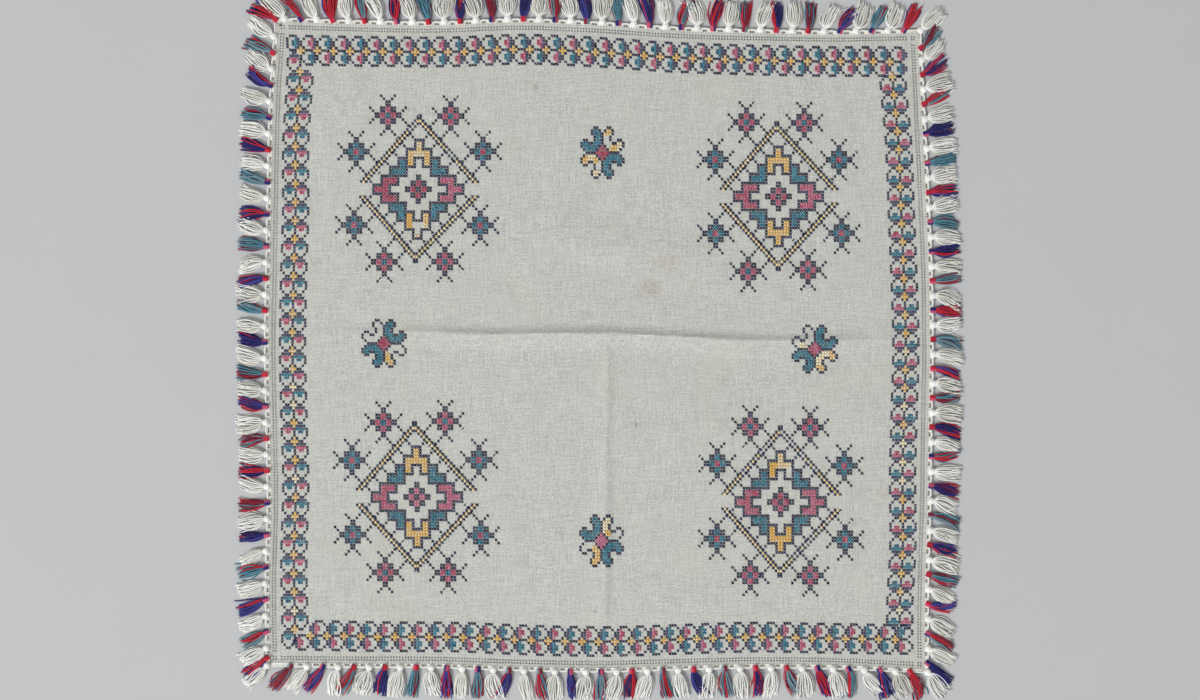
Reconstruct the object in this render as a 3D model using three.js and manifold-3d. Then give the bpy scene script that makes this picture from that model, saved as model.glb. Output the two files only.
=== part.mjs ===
// Embroidered handkerchief, laid out flat: a square of cotton cloth with a narrow hem and soft folding
// creases, and round it a crocheted edging of four strips that carry white and coloured yarn tassels.
// Sizes are in millimetres and angles in degrees. Z is up, Y runs to the top side and X to the right one.
import * as THREE from "three";
import Module from "manifold-3d";

const wasm = await Module();
wasm.setup();

// Cloth: its thickness, its hem, and the spacing of the grid that it is made on
const CLOTH_THICK = 1.4;
const HEM_WIDTH = 2.2;
const HEM_STEP = 0.5;
const HEM_RISE = 0.3;
const GRID_STEP = 20;

// The four corners of the cloth as it lies
const CORNER = {
  topLeft: new THREE.Vector2(-245.2, 246.2),
  topRight: new THREE.Vector2(242.0, 237.4),
  bottomLeft: new THREE.Vector2(-251.5, -242.0),
  bottomRight: new THREE.Vector2(247.3, -246.9),
};

// The sides, from their start to their end. The bow is how far a side stands out from the straight line
// between its corners, at each eighth of its length.
const SIDE = {
  top: {
    start: CORNER.topLeft,
    end: CORNER.topRight,
    outward: new THREE.Vector2(0, 1),
    bow: [0, -0.9, -0.7, 2.6, 1.4, -1.5, -2.3, -2.1, 0],
  },
  right: {
    start: CORNER.topRight,
    end: CORNER.bottomRight,
    outward: new THREE.Vector2(1, 0),
    bow: [0, 2.0, 4.3, 6.2, 6.3, 4.6, 3.1, 0.8, 0],
  },
  bottom: {
    start: CORNER.bottomLeft,
    end: CORNER.bottomRight,
    outward: new THREE.Vector2(0, -1),
    bow: [0, 0.0, -0.4, 1.1, 1.6, -0.6, -2.6, -2.3, 0],
  },
  left: {
    start: CORNER.topLeft,
    end: CORNER.bottomLeft,
    outward: new THREE.Vector2(-1, 0),
    bow: [0, 2.9, 3.6, 3.9, 4.2, 2.4, 0.6, 1.4, 0],
  },
};

// The main crease runs from side to side. Its crest line passes through these points at these heights.
const CREST = [
  { x: -240, y: 9.9, height: 0.0 },
  { x: -168, y: 10.3, height: 0.9 },
  { x: -137, y: 10.6, height: 1.5 },
  { x: -117, y: 9.5, height: 2.0 },
  { x: -80, y: 8.0, height: 2.6 },
  { x: -53, y: 9.1, height: 2.4 },
  { x: 8, y: 9.1, height: 2.4 },
  { x: 31, y: 8.0, height: 2.4 },
  { x: 69, y: 6.1, height: 2.2 },
  { x: 107, y: 3.8, height: 1.8 },
  { x: 183, y: 3.8, height: 0.8 },
  { x: 240, y: 5.0, height: 0.0 },
];
const CREST_REACH = { above: 9.0, below: 4.0 };
const CREST_SHARPNESS = 1.5;
const CREST_GRID = [-CREST_REACH.above, -5.5, -2.5, 0, 1.5, CREST_REACH.below];

// The second crease runs from the first one down to the bottom side.
const CROSS_CREASE = { topX: 6.3, bottomX: 3.8, topY: 9.0, bottomY: -236, height: 1.3 };
const CROSS_REACH = { left: 4.0, right: 5.5 };
const CROSS_FADE = 45;
const CROSS_GRID = [-CROSS_REACH.left, -1.5, 0, 2.0, CROSS_REACH.right];

// Broad soft waves that the cloth keeps from being folded away, each a low ridge from one point to another
const WAVES = [
  { fromX: -175, fromY: 205, toX: -225, toY: 145, height: 1.0, reach: 17 },
  { fromX: -95, fromY: 97, toX: 125, toY: 52, height: 1.2, reach: 24 },
  { fromX: -125, fromY: -2, toX: -190, toY: -62, height: 0.9, reach: 16 },
  { fromX: 30, fromY: -98, toX: 118, toY: -46, height: 0.9, reach: 22 },
  { fromX: 35, fromY: -212, toX: 112, toY: -176, height: 0.9, reach: 18 },
  { fromX: 198, fromY: -205, toX: 222, toY: -150, height: 1.0, reach: 14 },
  { fromX: -205, fromY: -190, toX: -120, toY: -222, height: 0.7, reach: 14 },
];

// Crocheted edging: a strip that starts just off the cloth's edge
const EDGING_GAP = 0.3;
const EDGING_WIDTH = 3.35;
const EDGING_THICK = 1.4;
const EDGING_STEPS = 18;

// Tassels: the lean of those near a corner, which falls away quickly towards the middle of the side, the
// least room between two locks of yarn, and how much narrower a lock is on top than below
const CORNER_LEAN = 38;
const LEAN_POWER = 2.2;
const LOCK_GAP = 0.8;
const LOCK_TOP_SHARE = 0.6;
const LOCK_LEAST_HALF = 0.5;

// The round head of a white tassel: its half width and height at distances from the cloth's edge
const HEAD = [
  { at: 2.9, half: 1.1, floor: 0.2, height: 1.2 },
  { at: 4.9, half: 2.15, floor: 0, height: 4.1 },
  { at: 6.8, half: 1.9, floor: 0, height: 3.9 },
];

// Each kind of tassel: how far from the cloth's edge its locks start, how they leave the head, their length,
// and how much a tassel wavers from its neighbours. A lock's section is given at shares of its length.
const TASSEL = {
  white: {
    offset: 6.2,
    locks: [
      { spread: -9, aside: -1.0 },
      { spread: 9, aside: 1.0 },
    ],
    length: 20.6,
    waver: { lean: 4, bend: 5, length: 0.05 },
    section: [
      { at: 0.0, half: 0.65, floor: 0.4, height: 2.6 },
      { at: 0.4, half: 2.8, floor: 0, height: 4.3 },
      { at: 1.0, half: 3.1, floor: 0, height: 2.2 },
    ],
  },
  coloured: {
    offset: 2.9,
    locks: [{ spread: 0, aside: 0 }],
    length: 24.0,
    waver: { lean: 4, bend: 5, length: 0.06 },
    section: [
      { at: 0.0, half: 1.1, floor: 0.2, height: 1.2 },
      { at: 0.5, half: 3.3, floor: 0, height: 3.6 },
      { at: 1.0, half: 3.0, floor: 0, height: 1.8 },
    ],
  },
};

// Joining the pieces of a side leaves points on straight edges, which are dropped within this distance
const JOIN_TOLERANCE = 0.04;

// Where the white tassels of each side sit, as shares of its length, and the coloured ones past each end of
// their row. Between two white ones there is always a coloured one.
const TASSEL_ROWS = [
  { side: "top", whites: 20, first: 0.0145, last: 0.9503, before: null, after: 0.9749, reversed: false },
  { side: "right", whites: 21, first: 0.0446, last: 0.9641, before: 0.0262, after: 0.9868, reversed: false },
  { side: "bottom", whites: 20, first: 0.0598, last: 0.9522, before: 0.0343, after: 0.9742, reversed: true },
  { side: "left", whites: 20, first: 0.0264, last: 0.9736, before: null, after: 0.9890, reversed: true },
];
const CORNER_TASSELS = {
  top: { side: "top", end: 1, kind: "white" },
  right: { side: "bottom", end: 1, kind: "white" },
  bottom: { side: "bottom", end: 0, kind: "white" },
  left: { side: "top", end: 0, kind: "coloured" },
};

const MATERIAL = {
  cloth: { color: 0xc6c8c0, roughness: 0.9, metalness: 0 },
  trim: { color: 0xe1e1da, roughness: 0.85, metalness: 0 },
};

// A repeatable number from -1 to 1 for tassel k and one of its features
function waver(k, feature) {
  const wave = Math.sin(12.9898 * k + 78.233 * feature) * 43758.5453;
  return 2 * (wave - Math.floor(wave)) - 1;
}

// Smooth curve through evenly spaced values, at a share from 0 to 1 of their length
function throughValues(values, share) {
  const last = values.length - 1;
  const place = Math.min(Math.max(share, 0), 1) * last;
  const k = Math.min(Math.floor(place), last - 1);
  const u = place - k;
  const value = (i) => values[Math.min(Math.max(i, 0), last)];
  const slopeHere = (value(k + 1) - value(k - 1)) / 2;
  const slopeNext = (value(k + 2) - value(k)) / 2;
  const rise = value(k + 1) - value(k);
  const square = 3 * rise - 2 * slopeHere - slopeNext;
  const cube = slopeHere + slopeNext - 2 * rise;
  return value(k) + u * (slopeHere + u * (square + u * cube));
}

// A point of a side at a share of its length
function sidePoint(side, share) {
  const point = side.start.clone().lerp(side.end, share);
  return point.addScaledVector(side.outward, throughValues(side.bow, share));
}

// The point of the laid cloth at shares s, from left to right, and t, from top to bottom: the four sides
// blended evenly across it
function clothPoint(s, t) {
  const across = sidePoint(SIDE.top, s).multiplyScalar(1 - t).addScaledVector(sidePoint(SIDE.bottom, s), t);
  const down = sidePoint(SIDE.left, t).multiplyScalar(1 - s).addScaledVector(sidePoint(SIDE.right, t), s);
  const upper = CORNER.topLeft.clone().lerp(CORNER.topRight, s);
  const lower = CORNER.bottomLeft.clone().lerp(CORNER.bottomRight, s);
  return across.add(down).sub(upper.lerp(lower, t));
}

// The crest line's y and height at x
function crestAt(x) {
  const k = CREST.findIndex((row) => row.x >= x);
  if (k <= 0) return k === 0 ? CREST[0] : CREST[CREST.length - 1];
  const [a, b] = [CREST[k - 1], CREST[k]];
  const u = (x - a.x) / (b.x - a.x);
  return { y: a.y + (b.y - a.y) * u, height: a.height + (b.height - a.height) * u };
}

// x of the second crease at y
function crossCreaseAt(y) {
  const u = (CROSS_CREASE.topY - y) / (CROSS_CREASE.topY - CROSS_CREASE.bottomY);
  return THREE.MathUtils.lerp(CROSS_CREASE.topX, CROSS_CREASE.bottomX, u);
}

// A fold's height at a distance from its crest: a sharp crest, level at the foot
function sharpFold(distance, reach) {
  return distance >= reach ? 0 : (1 - distance / reach) ** CREST_SHARPNESS;
}

// A soft wave's height at a distance from its crest
function softFold(distance, reach) {
  return distance >= reach ? 0 : 0.5 + 0.5 * Math.cos((Math.PI * distance) / reach);
}

// How high the cloth's underside lies at a point: the highest of its folds there
function liftAt(x, y) {
  const crest = crestAt(x);
  const off = y - crest.y;
  const main = crest.height * sharpFold(Math.abs(off), off > 0 ? CREST_REACH.above : CREST_REACH.below);

  const side = x - crossCreaseAt(y);
  const fade = THREE.MathUtils.smoothstep(y, CROSS_CREASE.bottomY, CROSS_CREASE.bottomY + CROSS_FADE);
  const below = y < CROSS_CREASE.topY ? 1 : 0;
  const reach = side > 0 ? CROSS_REACH.right : CROSS_REACH.left;
  const cross = CROSS_CREASE.height * fade * below * sharpFold(Math.abs(side), reach);

  const waves = WAVES.map((wave) => {
    const from = new THREE.Vector2(wave.fromX, wave.fromY);
    const run = new THREE.Vector2(wave.toX, wave.toY).sub(from);
    const rel = new THREE.Vector2(x, y).sub(from);
    const along = rel.dot(run) / run.lengthSq();
    const distance = Math.abs(rel.cross(run)) / run.length();
    const ends = Math.max(0, Math.sin(Math.PI * THREE.MathUtils.clamp(along, 0, 1)));
    return wave.height * ends * softFold(distance, wave.reach);
  });
  return Math.max(main, cross, ...waves);
}

// Shares of a side's length at which grid lines run: the hem, even steps, and close lines round a crease
function gridLines(length, creaseAt, creaseOffsets) {
  const hem = [0, HEM_WIDTH, HEM_WIDTH + HEM_STEP];
  const crease = creaseOffsets.map((offset) => creaseAt * length + offset);
  const evenly = (from, to) => {
    const steps = Math.max(1, Math.round((to - from) / GRID_STEP));
    return Array.from({ length: steps - 1 }, (_, k) => from + ((to - from) * (k + 1)) / steps);
  };
  const farHem = hem.map((d) => length - d).reverse();
  const before = evenly(hem[2], crease[0]);
  const after = evenly(crease[crease.length - 1], farHem[0]);
  return [...hem, ...before, ...crease, ...after, ...farHem].map((d) => d / length);
}

// Moves a share so that the line at rest runs through the place where it is wanted
function bentShare(share, rest, wanted) {
  return share < rest ? (share * wanted) / rest : 1 - ((1 - share) * (1 - wanted)) / (1 - rest);
}

// A closed solid between a lower and an upper grid of points, with columns from left to right and rows from
// top to bottom
function slab(columns, rows, lower, upper) {
  const positions = [];
  for (const point of [lower, upper])
    for (let j = 0; j <= rows; j++) for (let i = 0; i <= columns; i++) positions.push(...point(i, j));
  const level = (columns + 1) * (rows + 1);
  const low = (i, j) => j * (columns + 1) + i;
  const high = (i, j) => level + low(i, j);
  const faces = [];
  const quad = (a, b, c, d) => faces.push(a, b, c, a, c, d);
  for (let j = 0; j < rows; j++)
    for (let i = 0; i < columns; i++) {
      quad(high(i, j), high(i, j + 1), high(i + 1, j + 1), high(i + 1, j));
      quad(low(i, j), low(i + 1, j), low(i + 1, j + 1), low(i, j + 1));
    }
  for (let i = 0; i < columns; i++) {
    quad(low(i + 1, 0), low(i, 0), high(i, 0), high(i + 1, 0));
    quad(low(i, rows), low(i + 1, rows), high(i + 1, rows), high(i, rows));
  }
  for (let j = 0; j < rows; j++) {
    quad(low(0, j), low(0, j + 1), high(0, j + 1), high(0, j));
    quad(low(columns, j + 1), low(columns, j), high(columns, j), high(columns, j + 1));
  }
  const geometry = new THREE.BufferGeometry();
  geometry.setAttribute("position", new THREE.Float32BufferAttribute(positions, 3));
  geometry.setIndex(faces);
  return geometry;
}

// The sheet of cloth, with its hem, its creases and its waves
function clothGeometry() {
  const width = CORNER.topRight.x - CORNER.topLeft.x;
  const depth = CORNER.topLeft.y - CORNER.bottomLeft.y;
  const creaseShare = (CORNER.topLeft.y - crestAt(0).y) / depth;
  const crossShare = (crossCreaseAt(0) - CORNER.topLeft.x) / width;
  const columns = gridLines(width, crossShare, CROSS_GRID);
  const rows = gridLines(depth, creaseShare, CREST_GRID);

  const point = (i, j) => {
    const plain = clothPoint(columns[i], rows[j]);
    const [left, right] = [clothPoint(0, rows[j]).x, clothPoint(1, rows[j]).x];
    const s = bentShare(columns[i], crossShare, (crossCreaseAt(plain.y) - left) / (right - left));
    const [top, bottom] = [clothPoint(s, 0).y, clothPoint(s, 1).y];
    const t = bentShare(rows[j], creaseShare, (top - crestAt(plain.x).y) / (top - bottom));
    return clothPoint(s, t);
  };
  const lower = (i, j) => {
    const { x, y } = point(i, j);
    return [x, y, liftAt(x, y)];
  };
  const inHem = (k, lines) => k < 2 || k > lines.length - 3;
  const upper = (i, j) => {
    const [x, y, z] = lower(i, j);
    const hem = inHem(i, columns) || inHem(j, rows) ? HEM_RISE : 0;
    return [x, y, z + CLOTH_THICK + hem];
  };
  return slab(columns.length - 1, rows.length - 1, lower, upper);
}

// A three.js geometry as a manifold-3d solid
function solidOf(geometry) {
  const index = geometry.getIndex();
  const mesh = new wasm.Mesh({
    numProp: 3,
    vertProperties: geometry.getAttribute("position").array,
    triVerts: new Uint32Array(index.array),
  });
  return new wasm.Manifold(mesh);
}

// A manifold-3d solid as a three.js geometry
function geometryOf(solid) {
  const mesh = solid.getMesh();
  const geometry = new THREE.BufferGeometry();
  geometry.setAttribute("position", new THREE.BufferAttribute(mesh.vertProperties, 3));
  geometry.setIndex(new THREE.BufferAttribute(mesh.triVerts, 1));
  return geometry;
}

// The crocheted strip along one side. The top and bottom strips run on past the corners, and the left and
// right ones stop short of them.
function edgingGeometry(side) {
  const level = side.outward.x === 0;
  const runPast = EDGING_GAP + EDGING_WIDTH;
  const shares = Array.from({ length: EDGING_STEPS + 1 }, (_, k) => k / EDGING_STEPS);
  const line = shares.map((share) => sidePoint(side, share));
  if (level) {
    line.unshift(line[0].clone().setX(line[0].x - runPast));
    line.push(line[line.length - 1].clone().setX(line[line.length - 1].x + runPast));
  }
  const steps = line.length - 1;
  const offsets = [EDGING_GAP, EDGING_GAP + EDGING_WIDTH];
  const nearFirst = side === SIDE.bottom || side === SIDE.right;
  const offsetOf = (k) => offsets[nearFirst ? k : 1 - k];
  const place = (along, across) => line[along].clone().addScaledVector(side.outward, offsetOf(across));
  const at = level ? (i, j) => place(i, j) : (i, j) => place(j, i);
  const lower = (i, j) => [at(i, j).x, at(i, j).y, 0];
  const upper = (i, j) => [at(i, j).x, at(i, j).y, EDGING_THICK];
  return level ? slab(steps, 1, lower, upper) : slab(1, steps, lower, upper);
}

// Every tassel, clockwise from the top left corner: its side's strip, its kind, its place on the cloth's
// edge and the direction in which it hangs out
function tasselRing() {
  const ring = [];
  const add = (strip, kind, place, away) => ring.push({ strip, kind, place, away });
  const leaning = (side, share) => {
    const along = side.end.clone().sub(side.start).normalize();
    const near = 2 * share - 1;
    const lean = THREE.MathUtils.degToRad(CORNER_LEAN * Math.sign(near) * Math.abs(near) ** LEAN_POWER);
    return side.outward.clone().multiplyScalar(Math.cos(lean)).addScaledVector(along, Math.sin(lean));
  };
  const addCorner = (name) => {
    const { side, end, kind } = CORNER_TASSELS[name];
    const place = sidePoint(SIDE[side], end);
    const away = new THREE.Vector2(Math.sign(place.x), Math.sign(place.y)).normalize();
    add(side, kind, place, away);
  };
  addCorner("left");
  for (const row of TASSEL_ROWS) {
    const side = SIDE[row.side];
    const spots = [];
    const step = (row.last - row.first) / (row.whites - 1);
    if (row.before !== null) spots.push({ kind: "coloured", share: row.before });
    for (let k = 0; k < row.whites; k++) {
      spots.push({ kind: "white", share: row.first + k * step });
      if (k < row.whites - 1) spots.push({ kind: "coloured", share: row.first + (k + 0.5) * step });
    }
    spots.push({ kind: "coloured", share: row.after });
    if (row.reversed) spots.reverse();
    for (const { kind, share } of spots) add(row.side, kind, sidePoint(side, share), leaning(side, share));
    if (row.side !== "left") addCorner(row.side);
  }
  return ring;
}

// Every lock of yarn, clockwise too: its middle line and its wanted half widths, with its tassel's number
function locksOf(ring) {
  const locks = [];
  ring.forEach((tassel, k) => {
    const form = TASSEL[tassel.kind];
    const length = form.length * (1 + form.waver.length * waver(k, 1));
    const lean = form.waver.lean * waver(k, 2);
    const bend = form.waver.bend * waver(k, 3);
    const root = tassel.place.clone().addScaledVector(tassel.away, form.offset);
    const clockwise = new THREE.Vector2(tassel.away.y, -tassel.away.x);
    for (const { spread, aside } of form.locks) {
      const line = [root.clone().addScaledVector(clockwise, aside)];
      for (let n = 1; n < form.section.length; n++) {
        const piece = (form.section[n].at - form.section[n - 1].at) * length;
        const turn = THREE.MathUtils.degToRad(-(lean + spread + bend * form.section[n].at));
        const heading = tassel.away.clone().rotateAround(new THREE.Vector2(), turn);
        line.push(line[n - 1].clone().addScaledVector(heading, piece));
      }
      locks.push({ tassel: k, strip: tassel.strip, form, line });
    }
  });
  return locks;
}

// Distance from a point to a lock's middle line
function distanceToLine(point, line) {
  let least = Infinity;
  for (let k = 1; k < line.length; k++) {
    const run = line[k].clone().sub(line[k - 1]);
    const u = THREE.MathUtils.clamp(point.clone().sub(line[k - 1]).dot(run) / run.lengthSq(), 0, 1);
    least = Math.min(least, point.distanceTo(line[k - 1].clone().addScaledVector(run, u)));
  }
  return least;
}

// The half width that a lock's section asks for at a share of its length
function wantedHalf(section, at) {
  const k = Math.max(1, section.findIndex((station) => station.at >= at));
  const [a, b] = [section[k - 1], section[k]];
  return THREE.MathUtils.mapLinear(at, a.at, b.at, a.half, b.half);
}

// The half widths of lock k, drawn in where a neighbour would touch it
function halfWidths(locks, k) {
  const lock = locks[k];
  const neighbours = [locks[(k + 1) % locks.length], locks[(k + locks.length - 1) % locks.length]];
  return lock.form.section.map(({ at, half }, n) => {
    if (n === 0) return half;
    const limits = neighbours.map((other) => {
      const room = distanceToLine(lock.line[n], other.line) - LOCK_GAP;
      return (room * half) / (half + wantedHalf(other.form.section, at));
    });
    return Math.max(LOCK_LEAST_HALF, Math.min(half, ...limits));
  });
}

// A four-sided tapering body along a line, with a level underside, narrower on top
function taperGeometry(line, section, halves) {
  const rows = line.length - 1;
  const across = line.map((_, j) => {
    const run = line[Math.min(j + 1, rows)].clone().sub(line[Math.max(j - 1, 0)]).normalize();
    return new THREE.Vector2(-run.y, run.x);
  });
  const point = (i, j, share, height) => {
    const place = line[j].clone().addScaledVector(across[j], (2 * i - 1) * halves[j] * share);
    return [place.x, place.y, height];
  };
  const lower = (i, j) => point(i, j, 1, section[j].floor);
  const upper = (i, j) => point(i, j, LOCK_TOP_SHARE, section[j].height);
  return slab(1, rows, lower, upper);
}

function lockGeometry(lock, halves) {
  return taperGeometry(lock.line, lock.form.section, halves);
}

function headGeometry(tassel) {
  const line = HEAD.map(({ at }) => tassel.place.clone().addScaledVector(tassel.away, at));
  return taperGeometry(line, HEAD, HEAD.map(({ half }) => half));
}

// One side's edging with the tassels that it carries, joined into one solid
function trimGeometry(name, ring, locks) {
  const pieces = [solidOf(edgingGeometry(SIDE[name]))];
  for (const tassel of ring)
    if (tassel.strip === name && tassel.kind === "white") pieces.push(solidOf(headGeometry(tassel)));
  locks.forEach((lock, k) => {
    if (lock.strip === name) pieces.push(solidOf(lockGeometry(lock, halfWidths(locks, k))));
  });
  return geometryOf(wasm.Manifold.union(pieces).asOriginal().simplify(JOIN_TOLERANCE));
}

function addMesh(group, name, geometry, finish) {
  const mesh = new THREE.Mesh(geometry, new THREE.MeshStandardMaterial(finish));
  mesh.name = name;
  group.add(mesh);
}

const handkerchief = new THREE.Group();
addMesh(handkerchief, "cloth", clothGeometry(), MATERIAL.cloth);
const ring = tasselRing();
const locks = locksOf(ring);
for (const name of Object.keys(SIDE)) {
  addMesh(handkerchief, `trim_${name}`, trimGeometry(name, ring, locks), MATERIAL.trim);
}

// The origin is on the surface, under the middle of the whole piece
const middle = new THREE.Box3().setFromObject(handkerchief, true).getCenter(new THREE.Vector3());
handkerchief.position.set(-middle.x, -middle.y, 0);

export default handkerchief;
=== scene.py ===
"""An embroidered cotton handkerchief with a crocheted edging and yarn tassels, laid out flat.

Lengths are in millimetres until a mesh is made: x runs to the right, y to the top side and z up. The cloth's
own centre point is (0, 0), and every mesh is moved by the small shift that puts it where the frame has it.
"""

import logging
import math
from dataclasses import dataclass, field
from enum import Enum
from typing import Iterable, Iterator, Optional, Sequence, Union

import bpy
import numpy as np
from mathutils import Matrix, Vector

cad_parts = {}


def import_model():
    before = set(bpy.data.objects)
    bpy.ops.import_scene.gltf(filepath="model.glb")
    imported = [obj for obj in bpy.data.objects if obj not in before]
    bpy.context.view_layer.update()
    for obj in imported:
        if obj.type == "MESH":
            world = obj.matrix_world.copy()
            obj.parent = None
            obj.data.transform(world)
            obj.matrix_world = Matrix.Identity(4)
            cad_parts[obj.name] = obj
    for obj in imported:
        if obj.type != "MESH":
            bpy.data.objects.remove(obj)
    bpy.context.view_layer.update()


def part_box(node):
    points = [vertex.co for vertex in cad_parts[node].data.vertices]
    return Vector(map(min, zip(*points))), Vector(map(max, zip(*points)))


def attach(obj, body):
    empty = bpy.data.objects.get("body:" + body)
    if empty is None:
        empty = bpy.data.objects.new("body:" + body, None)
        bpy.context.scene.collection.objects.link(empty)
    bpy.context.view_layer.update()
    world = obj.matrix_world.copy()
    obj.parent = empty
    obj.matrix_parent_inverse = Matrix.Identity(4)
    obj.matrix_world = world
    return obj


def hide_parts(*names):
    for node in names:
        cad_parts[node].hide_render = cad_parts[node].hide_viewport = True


LOG = logging.getLogger("handkerchief")
METRES = 0.001
FRAME_WIDE_PIXELS = 1200
PIXEL = 0.762
CENTRE_PIXEL = (600.0, 345.0)
SEED = 1907

Vector2 = tuple[float, float]
Colour = tuple[float, float, float]


def from_pixel(pixel: Sequence[float]) -> np.ndarray:
    """Gives the place on the cloth, in millimetres, of a pixel of the photographed view."""
    return np.array([(pixel[0] - CENTRE_PIXEL[0]) * PIXEL, (CENTRE_PIXEL[1] - pixel[1]) * PIXEL])


def through_values(values: Sequence[float], share: Union[float, np.ndarray]) -> np.ndarray:
    """Reads a smooth curve through evenly spaced values.

    Args:
        values: The values, the first at share 0 and the last at share 1.
        share: Where to read the curve; it is held between 0 and 1.

    Returns:
        The curve's value at each share.
    """
    known = np.asarray(values, float)
    last = len(known) - 1
    place = np.clip(share, 0, 1) * last
    first = np.minimum(np.floor(place).astype(int), last - 1)
    u = place - first
    slope_here = (known[first + 1] - known[np.maximum(first - 1, 0)]) / 2
    slope_next = (known[np.minimum(first + 2, last)] - known[first]) / 2
    rise = known[first + 1] - known[first]
    square = 3 * rise - 2 * slope_here - slope_next
    cube = slope_here + slope_next - 2 * rise
    return known[first] + u * (slope_here + u * (square + u * cube))


def eased(value: np.ndarray) -> np.ndarray:
    """Gives a value from 0 to 1 a soft start and end."""
    held = np.clip(value, 0, 1)
    return held * held * (3 - 2 * held)


def unit(vectors: np.ndarray) -> np.ndarray:
    """Scales vectors to a length of one along their last axis."""
    return vectors / np.maximum(np.linalg.norm(vectors, axis=-1, keepdims=True), 1e-9)


def grid_quads(ids: np.ndarray) -> np.ndarray:
    """Gives the four corners of every cell of a grid of point numbers."""
    return np.stack([ids[:-1, :-1], ids[:-1, 1:], ids[1:, 1:], ids[1:, :-1]], axis=-1)


def tube_faces(stations: int, sides: int) -> tuple[np.ndarray, np.ndarray]:
    """Numbers the faces of a closed tube, whose two end points come after its rings.

    Args:
        stations: How many rings it has.
        sides: How many points a ring has.

    Returns:
        The walls and both caps.
    """
    station, side = np.meshgrid(np.arange(stations - 1), np.arange(sides), indexing="ij")
    here, beside = station * sides + side, station * sides + (side + 1) % sides
    walls = np.stack([here, beside, beside + sides, here + sides], axis=-1).reshape(-1, 4)
    rim = np.arange(sides)
    after = (rim + 1) % sides
    last = (stations - 1) * sides
    tip = np.full(sides, stations * sides)
    start_cap = np.stack([after, rim, tip], axis=-1)
    end_cap = np.stack([last + rim, last + after, tip + 1], axis=-1)
    return walls, np.concatenate([start_cap, end_cap])


class Pile:
    """Many small forms gathered into one mesh."""

    def __init__(self, shift: Sequence[float]) -> None:
        """Starts an empty pile.

        Args:
            shift: What is added to every x and y, so that the mesh lies where the frame has it.
        """
        self.shift = np.array([shift[0], shift[1], 0.0])
        self.points: list[np.ndarray] = []
        self.faces: dict[int, list[np.ndarray]] = {3: [], 4: []}
        self.values: dict[str, list[np.ndarray]] = {}
        self.count = 0

    def add(self, points: np.ndarray, faces: Iterable[np.ndarray], **values: np.ndarray) -> None:
        """Adds points, the faces between them and what the finish reads at each point.

        Args:
            points: The places, three numbers a row.
            faces: Arrays of point numbers, three or four a row.
            values: Numbers or colours for each point, by name; the same names at every call.
        """
        self.points.append(points)
        for corners in faces:
            self.faces[corners.shape[1]].append(corners + self.count)
        for name, value in values.items():
            self.values.setdefault(name, []).append(np.asarray(value, float))
        self.count += len(points)

    def build(self, name: str, finish: bpy.types.Material) -> bpy.types.Object:
        """Makes the gathered mesh into an object that rides on the body.

        Args:
            name: The piece's name.
            finish: Its material.

        Returns:
            The new object.
        """
        mesh = bpy.data.meshes.new(name)
        points = (np.concatenate(self.points) + self.shift) * METRES
        groups = [np.concatenate(found) for found in self.faces.values() if found]
        totals = np.concatenate([np.full(len(group), group.shape[1]) for group in groups])
        corners = np.concatenate([group.ravel() for group in groups])
        mesh.vertices.add(len(points))
        mesh.vertices.foreach_set("co", points.astype(np.float32).ravel())
        mesh.loops.add(len(corners))
        mesh.loops.foreach_set("vertex_index", corners.astype(np.int32))
        mesh.polygons.add(len(totals))
        mesh.polygons.foreach_set("loop_start", (np.cumsum(totals) - totals).astype(np.int32))
        mesh.polygons.foreach_set("loop_total", totals.astype(np.int32))
        mesh.polygons.foreach_set("use_smooth", np.ones(len(totals), bool))
        for key, found in self.values.items():
            value = np.concatenate(found)
            if value.ndim == 1:
                mesh.attributes.new(key, "FLOAT", "POINT").data.foreach_set("value", value.astype(np.float32))
            else:
                rgba = np.concatenate([value, np.ones((len(value), 1))], axis=1).astype(np.float32)
                mesh.attributes.new(key, "FLOAT_COLOR", "POINT").data.foreach_set("color", rgba.ravel())
        mesh.update(calc_edges=True)
        mesh.validate()
        mesh.materials.append(finish)
        made = bpy.data.objects.new(name, mesh)
        bpy.context.scene.collection.objects.link(made)
        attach(made, "root")
        LOG.info("%s: %d triangles", name, int((totals - 2).sum()))
        return made


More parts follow.
